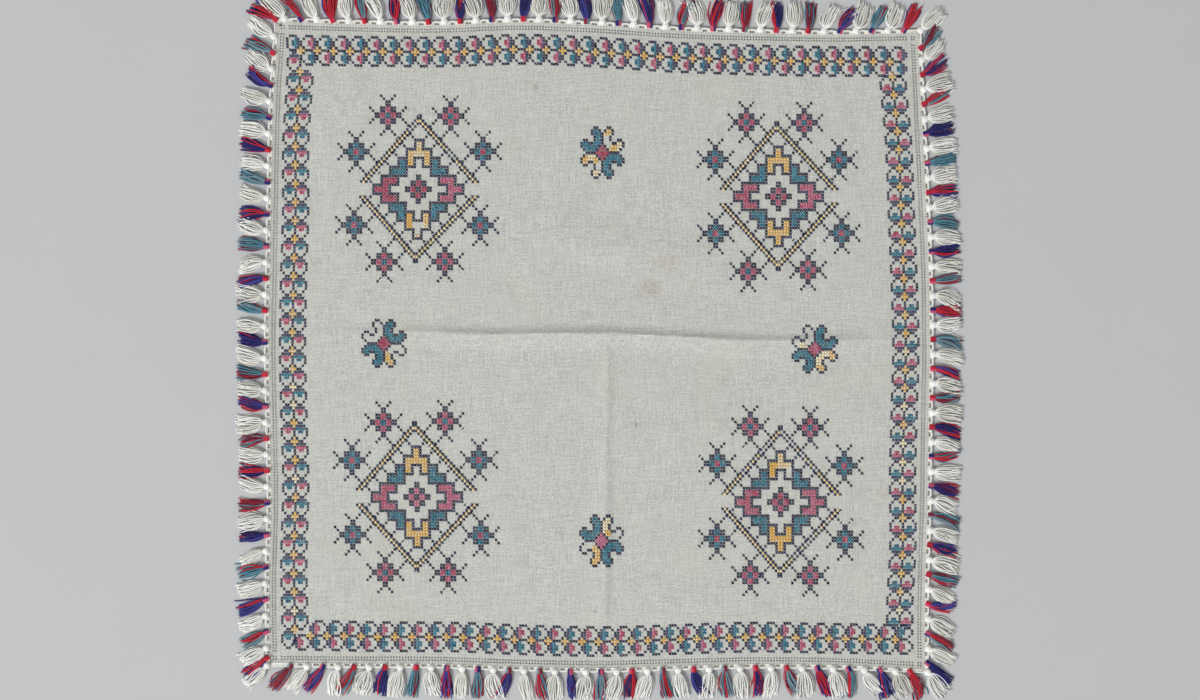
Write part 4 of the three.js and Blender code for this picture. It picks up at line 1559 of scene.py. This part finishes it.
@dataclass
class Embroidery:
    """Everything that is sewn on the cloth."""

    form: ClothForm
    medallions: tuple[Medallion, ...] = (
        Medallion(
            (418.4, 189.4), (2.075, 2.275), lean=0.024, heart_fade=0.1, left_fade=0.15, right_fade=0.5,
            yellow_top_fade=0.35, yellow_bottom_fade=0.8,
            rails=rails_between((0.3, 24.6), (-1.1, -24.2),
                                ((21.9, 2.5), (21.9, -2.5), (-21.0, 2.6), (-21.3, -2.6)),
                                {(-1, 1): (1, 2, 3), (1, 1): (10, 11, 12, 13)}),
            pink_stars=((11.9, 24.5), (9.7, -24.2), (-11.15, 24.8), (-12.5, -24.3)),
            teal_stars=((23.7, 12.7), (22.7, -12.1), (-22.8, 12.6), (-23.6, -11.95)),
            worn=(Worn((-2, 1), (11, 12), 0.85), Worn((-1, 0), (14, 15), 0.7),
                  Worn((-4, -3), (-13, -9), 0.05), Worn((2, 3), (-12, -9), 0.5),
                  Worn((-2, 1), (-13, -12)), Worn((-1, 0), (-15, -14)))),
        Medallion(
            (778.3, 196.6), (2.05, 2.29), left_fade=0.25, right_fade=0.5,
            rails=rails_between((-0.6, 24.5), (-0.1, -24.3),
                                ((21.9, 2.5), (21.9, -2.5), (-21.4, 2.6), (-21.5, -2.7))),
            pink_stars=((9.6, 24.5), (11.0, -24.4), (-11.9, 24.7), (-11.2, -24.9)),
            teal_stars=((22.5, 12.2), (23.5, -12.2), (-23.45, 12.3), (-23.3, -12.3))),
        Medallion(
            (417.0, 497.0), (2.08, 2.32), lean=-0.018, heart_fade=0.75, left_fade=0.35, right_fade=0.55,
            rails=rails_between((-0.9, 24.4), (-0.1, -24.2),
                                ((21.6, 2.5), (22.1, -2.6), (-21.9, 2.6), (-21.9, -2.6))),
            pink_stars=((10.3, 24.9), (11.4, -24.8), (-12.3, 24.5), (-11.6, -24.7)),
            teal_stars=((22.7, 12.2), (23.4, -12.6), (-23.8, 12.1), (-23.5, -12.35))),
        Medallion(
            (780.5, 502.0), (2.08, 2.33), left_fade=0.35, right_fade=0.55, yellow_bottom_fade=0.1,
            rails=rails_between((-0.1, 24.5), (-0.3, -24.2),
                                ((21.9, 2.5), (21.9, -2.7), (-21.3, 2.8), (-21.3, -2.2)),
                                {(-1, 1): (*range(3, 8), 9, 11, 13, 14),
                                 (1, 1): (*range(6), 7, 8, 10, 12, 13),
                                 (1, -1): (5, 6, 7, *range(9, 13), 14, 17)}),
            pink_stars=((10.8, 24.35), (10.8, -24.0), (-11.1, 24.65), (-11.1, -23.9)),
            teal_stars=((23.3, 11.85), (23.6, -12.25), (-23.2, 12.6), (-23.3, -11.95)),
            worn=(Worn((-4, -2), (8, 12), 0.05), Worn((-1, 0), (13, 15), 0.65), Worn((-1, 3), (11, 12), 0.75),
                  Worn((2, 3), (8, 10)))),
    )
    flowers: tuple[Flower, ...] = (
        Flower((814.6, 349.2), (2.10, 2.21), {
            (1, 1): whole(TEAL_FILL), (-1, -1): whole(TEAL_FILL), (-1, 1): Petal(level=CREAM_FILL),
            (1, -1): Petal(YELLOW_FILL, CREAM_FILL, CREAM_FILL, CREAM_FILL, YELLOW_FILL)}),
        Flower((384.1, 343.5), (2.04, 2.20), {
            (1, 1): whole(TEAL_FILL), (-1, -1): whole(TEAL_FILL), (-1, 1): Petal(),
            (1, -1): Petal(upright_end=YELLOW_FILL, upright=YELLOW_FILL)}, heart_fade=0.15),
        Flower((602.4, 152.8), (2.00, 2.39), {
            (-1, 1): whole(TEAL_FILL), (1, -1): whole(TEAL_FILL),
            (1, 1): Petal(upright_end=YELLOW_FILL, level=YELLOW_FILL, level_end=CREAM_FILL),
            (-1, -1): Petal(upright_end=CREAM_FILL, corner=YELLOW_FILL, level=CREAM_FILL,
                            level_end=YELLOW_FILL)}, heart_fade=0.15),
        Flower((601.5, 540.8), (2.01, 2.39), {
            (-1, 1): whole(TEAL_FILL), (1, -1): whole(TEAL_FILL),
            (1, 1): Petal(upright=CREAM_FILL, upright_end=CREAM_FILL, corner=YELLOW_FILL),
            (-1, -1): Petal(upright=YELLOW_FILL, upright_end=YELLOW_FILL, corner=YELLOW_FILL)},
            heart_fade=0.6),
    )
    bands: tuple[Band, ...] = (
        Band(Side.TOP, (301.1, 50.2), (889.7, 61.7), 37, (0, 0, 0, 0, 0, -0.5, -1.0, -0.3, 0),
             (0.2, 0.1, -1.0, -5.0, -3.7, -0.1, 1.0, 1.3, 0.2), outer=(-1, 36), inner=(0, 36),
             pink_first=True, row_pitch=2.155, narrow_start=True),
        Band(Side.RIGHT, (893.5, 76.7), (899.5, 609.8), 30, (-1.0, 4.1, 6.0, 8.0, 9.2, 6.9, 4.4, 4.0, 0),
             (0, -0.6, 0, -0.6, -1.0, -1.5, -0.8, 0.2, 0), outer=(0, 29), inner=(0, 29),
             pink_first=False, row_pitch=1.914, faded=(15, 18, 20, 21, 22, 29)),
        Band(Side.BOTTOM, (895.0, 640.0), (310.5, 636.0), 36, (0.3, 0.8, 1.0, 2.8, 4.2, 3.9, 2.5, 1.0, 0),
             (-0.7, -1.4, -1.9, 0.8, 3.5, 2.7, 0.2, 0.1, -0.6), outer=(-1, 35), inner=(-1, 34),
             pink_first=False, row_pitch=2.155),
        Band(Side.LEFT, (295.5, 630.0), (300.5, 71.5), 31,
             (-0.5, -2.2, -0.9, -3.3, -5.4, -5.0, -3.6, -4.0, -0.2),
             (-0.9, -1.0, -2.6, -2.2, 0, 0, 0.2, 0.4, 0), outer=(-1, 30), inner=(0, 29),
             pink_first=True, row_pitch=1.914, faded=(1, 8, 12, 13)),
    )

    def build(self) -> list[bpy.types.Object]:
        """Sews every motif.

        Returns:
            One piece for each thread.
        """
        book = StitchBook(self.form)
        for motif in (*self.medallions, *self.flowers, *self.bands):
            motif.sew(book)
        return book.sew()


NUMBER_TURN, FEATURE_TURN, WAVER_SPREAD = 12.9898, 78.233, 43758.5453
FULL_TURN = 6.3


class Kind(Enum):
    """The two kinds of tassel."""

    WHITE = "white"
    COLOURED = "coloured"


@dataclass(frozen=True)
class TasselRow:
    """One side's tassels: the white ones evenly spaced, coloured ones half-way between and past the ends."""

    side: Side
    whites: int
    first: float
    last: float
    before: Optional[float]
    after: float
    reversed: bool

    def spots(self) -> list[tuple[Kind, float]]:
        """Lists the side's tassels.

        Returns:
            Each one's kind and its share of the side, in clockwise order.
        """
        step = (self.last - self.first) / (self.whites - 1)
        found = [] if self.before is None else [(Kind.COLOURED, self.before)]
        for k in range(self.whites):
            found.append((Kind.WHITE, self.first + k * step))
            if k < self.whites - 1:
                found.append((Kind.COLOURED, self.first + (k + 0.5) * step))
        found.append((Kind.COLOURED, self.after))
        return found[::-1] if self.reversed else found


@dataclass(frozen=True)
class Tassel:
    """One tassel: its strip, its kind, its place on the cloth's edge and the direction in which it hangs."""

    number: int
    side: Side
    kind: Kind
    place: np.ndarray
    away: np.ndarray
    share: float

    @property
    def clockwise(self) -> np.ndarray:
        """Gives the direction across the tassel."""
        return np.array([self.away[1], -self.away[0]])


@dataclass(frozen=True)
class TasselForm:
    """The sizes of one kind of tassel.

    head lists the distances from the cloth's edge and the half widths of its wound head; the skirt starts at
    root and opens from neck_half to skirt_half, the faster the higher shoulder is, and draws in by the share
    tuck at its tips. A few strands stray.
    """

    head: tuple[Vector2, ...]
    lobes: int
    lobe_depth: float
    root: float
    length: float
    strands: tuple[int, ...]
    yarn_half: float
    neck_half: float
    skirt_half: float
    shoulder: float
    tuck: float
    lean: float
    bend: float
    uneven: float
    frayed: float = 4.0
    stray_share: float = 0.06
    stray_sway: float = 4.0
    middle_height: float = 2.05


class YarnColour(Enum):
    """The yarns of the tassels."""

    WHITE = (0.93, 0.93, 0.89)
    CREAM = (0.82, 0.81, 0.74)
    RED = (0.56, 0.012, 0.035)
    NAVY = (0.014, 0.012, 0.15)
    BLUE = (0.05, 0.05, 0.30)
    TEAL = (0.09, 0.25, 0.33)
    SLATE = (0.20, 0.30, 0.36)
    BURGUNDY = (0.24, 0.012, 0.035)
    ROSE = (0.58, 0.085, 0.16)


MIXES: tuple[tuple[YarnColour, ...], ...] = (
    (YarnColour.NAVY, YarnColour.RED, YarnColour.NAVY, YarnColour.BLUE, YarnColour.RED),
    (YarnColour.TEAL, YarnColour.BURGUNDY, YarnColour.SLATE, YarnColour.TEAL, YarnColour.RED),
)
TIES: tuple[tuple[YarnColour, YarnColour], ...] = (
    (YarnColour.RED, YarnColour.ROSE),
    (YarnColour.ROSE, YarnColour.NAVY),
    (YarnColour.BURGUNDY, YarnColour.SLATE),
    (YarnColour.RED, YarnColour.BURGUNDY),
    (YarnColour.NAVY, YarnColour.ROSE),
)


@dataclass
class TasselRing:
    """All the tassels round the cloth, clockwise from its top left corner."""

    form: ClothForm
    rows: tuple[TasselRow, ...] = (
        TasselRow(Side.TOP, 20, 0.0145, 0.9503, None, 0.9749, False),
        TasselRow(Side.RIGHT, 21, 0.0446, 0.9641, 0.0262, 0.9868, False),
        TasselRow(Side.BOTTOM, 20, 0.0598, 0.9522, 0.0343, 0.9742, True),
        TasselRow(Side.LEFT, 20, 0.0264, 0.9736, None, 0.9890, True),
    )
    corner_lean: float = 38.0
    lean_power: float = 2.2
    white: TasselForm = TasselForm(
        head=((0.7, 0.9), (1.2, 2.0), (2.2, 2.65), (3.4, 2.75), (4.5, 2.35), (5.2, 1.9), (5.6, 2.2),
              (6.1, 2.3), (6.5, 1.9)),
        lobes=9, lobe_depth=0.07, root=5.7, length=20.2, strands=(12, 9, 6), yarn_half=0.5, neck_half=2.1,
        skirt_half=6.9, shoulder=4.4, tuck=0.2, lean=11, bend=26, uneven=0.16, frayed=5.5, stray_share=0.1)
    coloured: TasselForm = TasselForm(
        head=((0.6, 1.2), (0.8, 1.9), (1.3, 2.1), (4.4, 2.1), (5.0, 1.9), (5.3, 1.2)),
        lobes=6, lobe_depth=0.08, root=4.8, length=21.0, strands=(10, 7, 5), yarn_half=0.5, neck_half=1.6,
        skirt_half=4.8, shoulder=3.0, tuck=0.1, lean=13, bend=30, uneven=0.2, frayed=6.0, stray_share=0.1)
    stations: int = 9
    fullness: float = 0.2
    lobe_shade: float = 0.3
    tie_waver: float = 0.06
    tie_split: float = 0.2
    layer_narrows: float = 0.16
    aside_jitter: float = 0.06
    length_waver: float = 0.05
    tuck_start: float = 0.45
    sway_halves: Vector2 = (0.8, 1.8)
    sway_reach: Vector2 = (0.25, 0.9)
    neck_step: float = 2.1
    crown: float = 0.9
    rest_first: float = 1.05
    rest_step: float = 1.55
    settled_at: float = 0.75
    thickness: Vector2 = (0.88, 1.1)
    swell: float = 0.06
    swell_waves: float = 9
    tip_taper: float = 0.78
    dye_spread: Vector2 = (0.86, 1.08)

    def __post_init__(self) -> None:
        """Places the tassels."""
        self.draw = np.random.default_rng(SEED + 3)
        self.tassels: list[Tassel] = []
        self._corner(Side.TOP, Side.TOP, 0.0, Kind.COLOURED)
        for row, end in zip(self.rows, (1.0, 1.0, 0.0, None)):
            for kind, share in row.spots():
                place = self.form.edges[row.side].at(share)
                self._add(row.side, kind, place, self._leaning(row.side, share), share)
            if end is not None:
                strip = Side.TOP if row.side is Side.TOP else Side.BOTTOM
                self._corner(strip, row.side, end, Kind.WHITE)

    def _add(self, side: Side, kind: Kind, place: np.ndarray, away: np.ndarray, share: float) -> None:
        """Adds one tassel to the ring."""
        self.tassels.append(Tassel(len(self.tassels), side, kind, place, away, share))

    def _corner(self, strip: Side, side: Side, end: float, kind: Kind) -> None:
        """Adds a corner's tassel, which points out across it."""
        place = self.form.edges[side].at(end)
        self._add(strip, kind, place, np.sign(place) / math.sqrt(2), end)

    def _leaning(self, side: Side, share: float) -> np.ndarray:
        """Gives the direction of a tassel, which leans towards the nearer corner.

        Args:
            side: Its side.
            share: Its share of the side.

        Returns:
            The direction.
        """
        near = 2 * share - 1
        lean = math.radians(self.corner_lean * math.copysign(abs(near) ** self.lean_power, near))
        edge = self.form.edges[side]
        return side.outward * math.cos(lean) + edge.direction * math.sin(lean)

    @staticmethod
    def waver(number: int, feature: int) -> float:
        """Gives a steady number from -1 to 1 for one feature of one tassel."""
        value = math.sin(NUMBER_TURN * number + FEATURE_TURN * feature) * WAVER_SPREAD
        return 2 * (value - math.floor(value)) - 1

    def build(self) -> list[bpy.types.Object]:
        """Makes the tassels, one white and one coloured piece a side.

        Returns:
            The pieces.
        """
        finishes = {Kind.WHITE: YarnFinish("white_yarn").make(),
                    Kind.COLOURED: YarnFinish("coloured_yarn").make()}
        made = []
        for side in Side:
            for kind, finish in finishes.items():
                pile = Pile(self.form.shift)
                for tassel in self.tassels:
                    if tassel.side is side and tassel.kind is kind:
                        self._add_tassel(pile, tassel)
                piece = pile.build(f"tassels_{kind.value}_{side.label}", finish)
                made.append(piece)
        return made

    def _add_tassel(self, pile: Pile, tassel: Tassel) -> None:
        """Adds a tassel's head and the strands of its skirt.

        Args:
            pile: Where they go.
            tassel: The tassel.
        """
        shape = self.white if tassel.kind is Kind.WHITE else self.coloured
        if tassel.kind is Kind.WHITE:
            tie = (YarnColour.WHITE, YarnColour.WHITE)
            mix: tuple[YarnColour, ...] = (YarnColour.WHITE, YarnColour.WHITE, YarnColour.CREAM)
        else:
            tie = TIES[int(self.draw.integers(len(TIES)))]
            mix = MIXES[(tassel.number // 2) % 2]
        self._add_head(pile, tassel, shape, tie)
        self._add_skirt(pile, tassel, shape, mix)

    def _add_head(self, pile: Pile, tassel: Tassel, shape: TasselForm,
                  tie: tuple[YarnColour, YarnColour]) -> None:
        """Adds the wound head as a lobed knob that lies on its side.

        Args:
            pile: Where it goes.
            tassel: The tassel.
            shape: Its kind's sizes.
            tie: The colours of its two sides.
        """
        sides = shape.lobes * 2
        turn = np.arange(sides) * 2 * np.pi / sides
        profile = np.array(shape.head)
        lobes = 1 + shape.lobe_depth * np.cos(turn * shape.lobes)
        half = profile[:, 1:] * lobes
        tall = shape.middle_height / max(width for _, width in shape.head)
        flat = tassel.place + profile[:, :1] * tassel.away
        ring = flat[:, None] + (half * np.cos(turn))[..., None] * tassel.clockwise
        height = shape.middle_height + half * np.sin(turn) * tall / (1 + shape.lobe_depth)
        points = np.concatenate([ring, height[..., None]], axis=-1).reshape(-1, 3)
        ends = np.column_stack([flat[[0, -1]], np.full(2, shape.middle_height)])
        points = np.concatenate([points, ends])
        stations = len(profile)
        walls, caps = tube_faces(stations, sides)
        faces = [walls[:, [0, 3, 2, 1]], caps[:, [1, 0, 2]]]
        along = np.concatenate([np.repeat(profile[:, 0], sides), profile[[0, -1], 0]])
        lobe_across = self.lobe_shade * np.cos(turn * shape.lobes)
        across = np.concatenate([np.tile(lobe_across, stations), np.zeros(2)])
        brightness = 1 + self.tie_waver * self.waver(tassel.number, 5)
        dyes = np.array([colour.value for colour in tie]) * brightness
        on_second = np.tile(np.cos(turn) > self.tie_split, stations)
        second = np.concatenate([on_second, [False, False]]).astype(int)
        pile.add(points, faces, along=along, across=across, dye=dyes[second])

    def _add_skirt(self, pile: Pile, tassel: Tassel, shape: TasselForm, mix: Sequence[YarnColour]) -> None:
        """Adds the strands, in layers that fan out from the neck and settle on what is under them.

        Args:
            pile: Where they go.
            tassel: The tassel.
            shape: Its kind's sizes.
            mix: The yarns' colours.
        """
        draw = self.draw
        aside = np.concatenate([np.linspace(-1, 1, count) * (1 - self.layer_narrows * layer)
                                for layer, count in enumerate(shape.strands)])
        layer = np.repeat(np.arange(len(shape.strands)), shape.strands)
        count = len(aside)
        aside = aside + draw.uniform(-self.aside_jitter, self.aside_jitter, count)
        number = tassel.number
        length = shape.length * (1 + self.length_waver * self.waver(number, 1))
        length = length * (1 - draw.uniform(0, shape.uneven, count))
        lean = shape.lean * self.waver(number, 2)
        bend = shape.bend * self.waver(number, 3)
        u = np.linspace(0, 1, self.stations)
        turn = -np.radians(lean + bend * u) + np.radians(draw.normal(0, shape.frayed, count))[:, None] * u
        heading = (tassel.away[:, None, None] * np.cos(turn)
                   + np.array([-tassel.away[1], tassel.away[0]])[:, None, None] * np.sin(turn))
        step = np.moveaxis(heading, 0, -1) * (length[:, None, None] / (self.stations - 1))
        root = tassel.place + tassel.away * shape.root
        line = root + np.cumsum(step, axis=1) - step[:, :1]
        widest = shape.skirt_half * (1 + self.fullness * self.waver(number, 6))
        opening = shape.neck_half + (widest - shape.neck_half) * (1 - (1 - u) ** shape.shoulder)
        opening = opening * (1 - shape.tuck * eased((u - self.tuck_start) / (1 - self.tuck_start)))
        stray = 1 + shape.stray_sway * (draw.random(count) < shape.stray_share)
        halves = draw.uniform(*self.sway_halves, count)[:, None]
        sway = np.sin(u * np.pi * halves + draw.uniform(0, FULL_TURN, count)[:, None])
        wander = sway * (draw.uniform(*self.sway_reach, count) * stray)[:, None] * u
        line = line + ((aside[:, None] * opening + wander)[..., None] * tassel.clockwise)
        neck = shape.middle_height + (layer - 1) * shape.yarn_half * self.neck_step
        crown = (1 - aside ** 2) * self.crown
        rest = shape.yarn_half * (self.rest_first + self.rest_step * layer)
        settled = eased(u / self.settled_at)
        height = neck[:, None] * (1 - settled) + rest[:, None] * settled
        height = height + (crown * (layer > 0))[:, None] * np.sin(np.pi * u) * self.crown
        path = np.concatenate([line, height[..., None]], axis=-1)
        thick = shape.yarn_half * draw.uniform(*self.thickness, count)[:, None]
        swell = 1 + self.swell * np.sin(u * self.swell_waves + draw.uniform(0, FULL_TURN, count)[:, None])
        taper = np.where(u == 1, self.tip_taper, 1.0)
        dyes = np.array([yarn.value for yarn in mix])[self._bundle(count, len(mix))]
        dyes = dyes * draw.uniform(*self.dye_spread, count)[:, None]
        add_tubes(pile, path, thick * swell * taper, 5, dye=dyes)

    def _bundle(self, count: int, colours: int) -> np.ndarray:
        """Gives each strand's colour number, in small bundles that lie together."""
        runs = self.draw.integers(1, 6, count)
        return np.repeat(self.draw.integers(0, colours, count), runs)[:count]


@dataclass
class Edging:
    """The crocheted edging: a strip with slots between the tassels and a cord that arches over them."""

    ring: TasselRing
    rows: tuple[float, ...] = (-0.05, 0.2, 1.75, 2.2)
    low: float = 0.12
    high: float = 1.5
    slot_length: float = 3.5
    slot_uneven: float = 0.18
    cord_offset: float = 2.65
    cord_arch: float = 0.3
    cord_half: float = 0.78
    stitch_pitch: float = 2.1
    stitch_reach: Vector2 = (-1.0, 0.75)
    past_corner: float = 0.9
    slot_turn: float = 2.4
    strip_wave: float = 0.12
    strip_turn: float = 2.1
    strip_bright: float = 1.02
    cord_step: float = 1.3
    cord_fall: float = 4.5
    cord_height: float = 1.15
    cord_wave: float = 0.18
    cord_wave_turn: float = 1.9
    cord_swell: float = 0.12
    cord_swell_turn: float = 3.3
    cord_sides: int = 7
    stitch_margin: float = 2
    stitch_slant: float = 0.35
    stitch_arch: tuple[float, ...] = (-0.15, 0.3, 0.3, -0.1)
    stitch_lift: float = 0.3
    stitch_half: float = 0.26

    def build(self) -> list[bpy.types.Object]:
        """Makes the edging, a piece a side.

        Returns:
            The pieces.
        """
        finish = YarnFinish("edging_yarn", roughness=0.88).make()
        made = []
        for side in Side:
            pile = Pile(self.ring.form.shift)
            shares = sorted(t.share for t in self.ring.tassels if t.side is side and 0 < t.share < 1)
            middles = [(a + b) / 2 for a, b in zip(shares, shares[1:])]
            self._add_strip(pile, side, middles)
            self._add_cord(pile, side, middles)
            self._add_stitches(pile, side)
            piece = pile.build(f"edging_{side.label}", finish)
            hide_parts(f"trim_{side.label}")
            made.append(piece)
        return made

    def _line(self, side: Side, along: np.ndarray, offset: Union[float, np.ndarray]) -> np.ndarray:
        """Gives places beside a side.

        Args:
            side: The side.
            along: Distances along it, in millimetres.
            offset: Distances out from it.

        Returns:
            The x and y of each.
        """
        edge = self.ring.form.edges[side]
        share = along / edge.length
        past = (share - np.clip(share, 0, 1)) * edge.length
        flat = edge.at(np.clip(share, 0, 1)) + past[..., None] * edge.direction
        return flat + np.asarray(offset)[..., None] * side.outward

    def _ends(self, side: Side) -> Vector2:
        """Gives where a side's strip starts and ends along it."""
        past = self.rows[-1] + self.past_corner if side.level else 0.0
        return -past, self.ring.form.edges[side].length + past

    def _add_strip(self, pile: Pile, side: Side, middles: Sequence[float]) -> None:
        """Adds the strip with its slots.

        Args:
            pile: Where it goes.
            side: The side.
            middles: The slots' middles, as shares of the side.
        """
        length = self.ring.form.edges[side].length
        start, end = self._ends(side)
        swing = np.sin(np.arange(len(middles)) * self.slot_turn)
        halves = self.slot_length / 2 * (1 + self.slot_uneven * swing)
        slots = np.array([[m * length - half, m * length + half] for m, half in zip(middles, halves)])
        joins = (slots[1:, 0] + slots[:-1, 1]) / 2
        columns = np.sort(np.concatenate([[start, end], slots.ravel(), joins]))
        is_slot = np.isin(columns[:-1], slots[:, 0])
        along, offset = np.meshgrid(columns, np.array(self.rows), indexing="ij")
        flat = self._line(side, along, offset)
        ids = np.arange(along.size).reshape(along.shape)
        solid = np.ones((len(columns) - 1, len(self.rows) - 1), bool)
        solid[is_slot, 1] = False
        quads = grid_quads(ids)[solid]
        if side in (Side.TOP, Side.RIGHT):
            quads = quads[:, ::-1]
        count = along.size
        high = np.full(count, self.high) + self.strip_wave * np.sin(along.ravel() * self.strip_turn)
        part = Pile(pile.shift[:2])
        add_thick(part, flat.reshape(-1, 2), np.full(count, self.low), high, [quads])
        points = part.points[0]
        faces = [found for group in part.faces.values() for found in group]
        zeros = np.zeros(len(points))
        dye = np.tile(np.array(YarnColour.CREAM.value) * self.strip_bright, (len(points), 1))
        pile.add(points, faces, along=points[:, 0] + points[:, 1], across=zeros, dye=dye)

    def _add_cord(self, pile: Pile, side: Side, middles: Sequence[float]) -> None:
        """Adds the bright cord along the strip's outer edge.

        Args:
            pile: Where it goes.
            side: The side.
            middles: The slots' middles, as shares of the side.
        """
        length = self.ring.form.edges[side].length
        start, end = self._ends(side)
        along = np.linspace(start, end, round((end - start) / self.cord_step) + 1)
        spots = np.array(middles) * length
        near = np.abs(along[:, None] - spots).min(1)
        arch = self.cord_arch * np.cos(np.clip(near / self.cord_fall, 0, 1) * np.pi)
        flat = self._line(side, along, self.cord_offset + arch)
        height = self.cord_height + self.cord_wave * np.sin(along * self.cord_wave_turn)
        path = np.column_stack([flat, height])[None]
        radii = self.cord_half * (1 + self.cord_swell * np.sin(along * self.cord_swell_turn))[None]
        add_tubes(pile, path, radii, self.cord_sides, dye=np.array([YarnColour.WHITE.value]))

    def _add_stitches(self, pile: Pile, side: Side) -> None:
        """Adds the small stitches that join the strip to the hem.

        Args:
            pile: Where they go.
            side: The side.
        """
        length = self.ring.form.edges[side].length
        along = np.arange(self.stitch_margin, length - self.stitch_margin, self.stitch_pitch)
        reach = np.linspace(self.stitch_reach[0], self.stitch_reach[1], len(self.stitch_arch))
        place, offset = np.meshgrid(along, reach, indexing="ij")
        flat = self._line(side, place + offset * self.stitch_slant, offset)
        base = self.ring.form.top(flat[..., 0], flat[..., 1]) + self.stitch_lift
        path = np.concatenate([flat, (base + np.array(self.stitch_arch))[..., None]], axis=-1)
        radii = np.full(path.shape[:2], self.stitch_half)
        dye = np.tile(np.array(YarnColour.CREAM.value), (len(along), 1))
        add_tubes(pile, path, radii, 4, dye=dye)


@dataclass
class Studio:
    """The pale floor, the soft light and the camera straight above."""

    shift: np.ndarray
    view_centre: Vector2 = (0.0, -3.81)
    camera_height: float = 2600.0
    film: float = 36.0
    floor_half: float = 4.0
    sun_azimuth: float = 225.0
    sun_elevation: float = 40.0
    sun_distance: float = 8.0
    sun_size: float = 2.9
    sun_power: float = 475.0
    world_strength: float = 0.5

    def build(self) -> None:
        """Sets up the floor, the lights and the camera."""
        self._floor()
        self._camera()
        self._light()
        view = bpy.context.scene.view_settings
        view.view_transform = "Standard"
        view.look = "None"

    def _floor(self) -> None:
        """Makes the floor."""
        half = self.floor_half
        mesh = bpy.data.meshes.new("floor")
        corners = [(-half, -half, 0), (half, -half, 0), (half, half, 0), (-half, half, 0)]
        mesh.from_pydata(corners, [], [(0, 1, 2, 3)])
        mesh.materials.append(FloorFinish().make())
        floor = bpy.data.objects.new("floor", mesh)
        bpy.context.scene.collection.objects.link(floor)

    def _camera(self) -> None:
        """Makes the camera, which frames the photographed view."""
        data = bpy.data.cameras.new("camera")
        frame_wide = FRAME_WIDE_PIXELS * PIXEL
        data.sensor_width = self.film
        data.lens = self.film * self.camera_height / frame_wide
        data.clip_end = 100.0
        camera = bpy.data.objects.new("camera", data)
        x, y = np.array(self.view_centre) + self.shift
        camera.location = (x * METRES, y * METRES, self.camera_height * METRES)
        bpy.context.scene.collection.objects.link(camera)
        bpy.context.scene.camera = camera

    def _light(self) -> None:
        """Makes the large soft light from the lower left and the pale surroundings."""
        azimuth, elevation = math.radians(self.sun_azimuth), math.radians(self.sun_elevation)
        data = bpy.data.lights.new("window", "AREA")
        data.shape = "DISK"
        data.size = self.sun_size
        data.energy = self.sun_power
        light = bpy.data.objects.new("window", data)
        level = math.cos(elevation) * self.sun_distance
        light.location = (math.cos(azimuth) * level, math.sin(azimuth) * level,
                          math.sin(elevation) * self.sun_distance)
        light.rotation_euler = (math.pi / 2 - elevation, 0, azimuth + math.pi / 2)
        bpy.context.scene.collection.objects.link(light)
        world = bpy.data.worlds.new("studio")
        world.use_nodes = True
        background = world.node_tree.nodes["Background"]
        background.inputs["Color"].default_value = (1.0, 1.0, 1.0, 1.0)
        background.inputs["Strength"].default_value = self.world_strength
        bpy.context.scene.world = world


def main() -> None:
    """Builds the handkerchief piece by piece and sets the studio round it."""
    logging.basicConfig(level=logging.INFO, format="%(name)s: %(message)s")
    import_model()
    form = ClothForm()
    cloth = ClothSheet(form).build()
    stitches = Embroidery(form).build()
    ring = TasselRing(form)
    tassels = ring.build()
    edging = Edging(ring).build()
    Studio(form.shift).build()
    bpy.context.view_layer.update()
    LOG.info("%d pieces", 1 + len(stitches) + len(edging) + len(tassels))


if __name__ == "__main__":
    main()
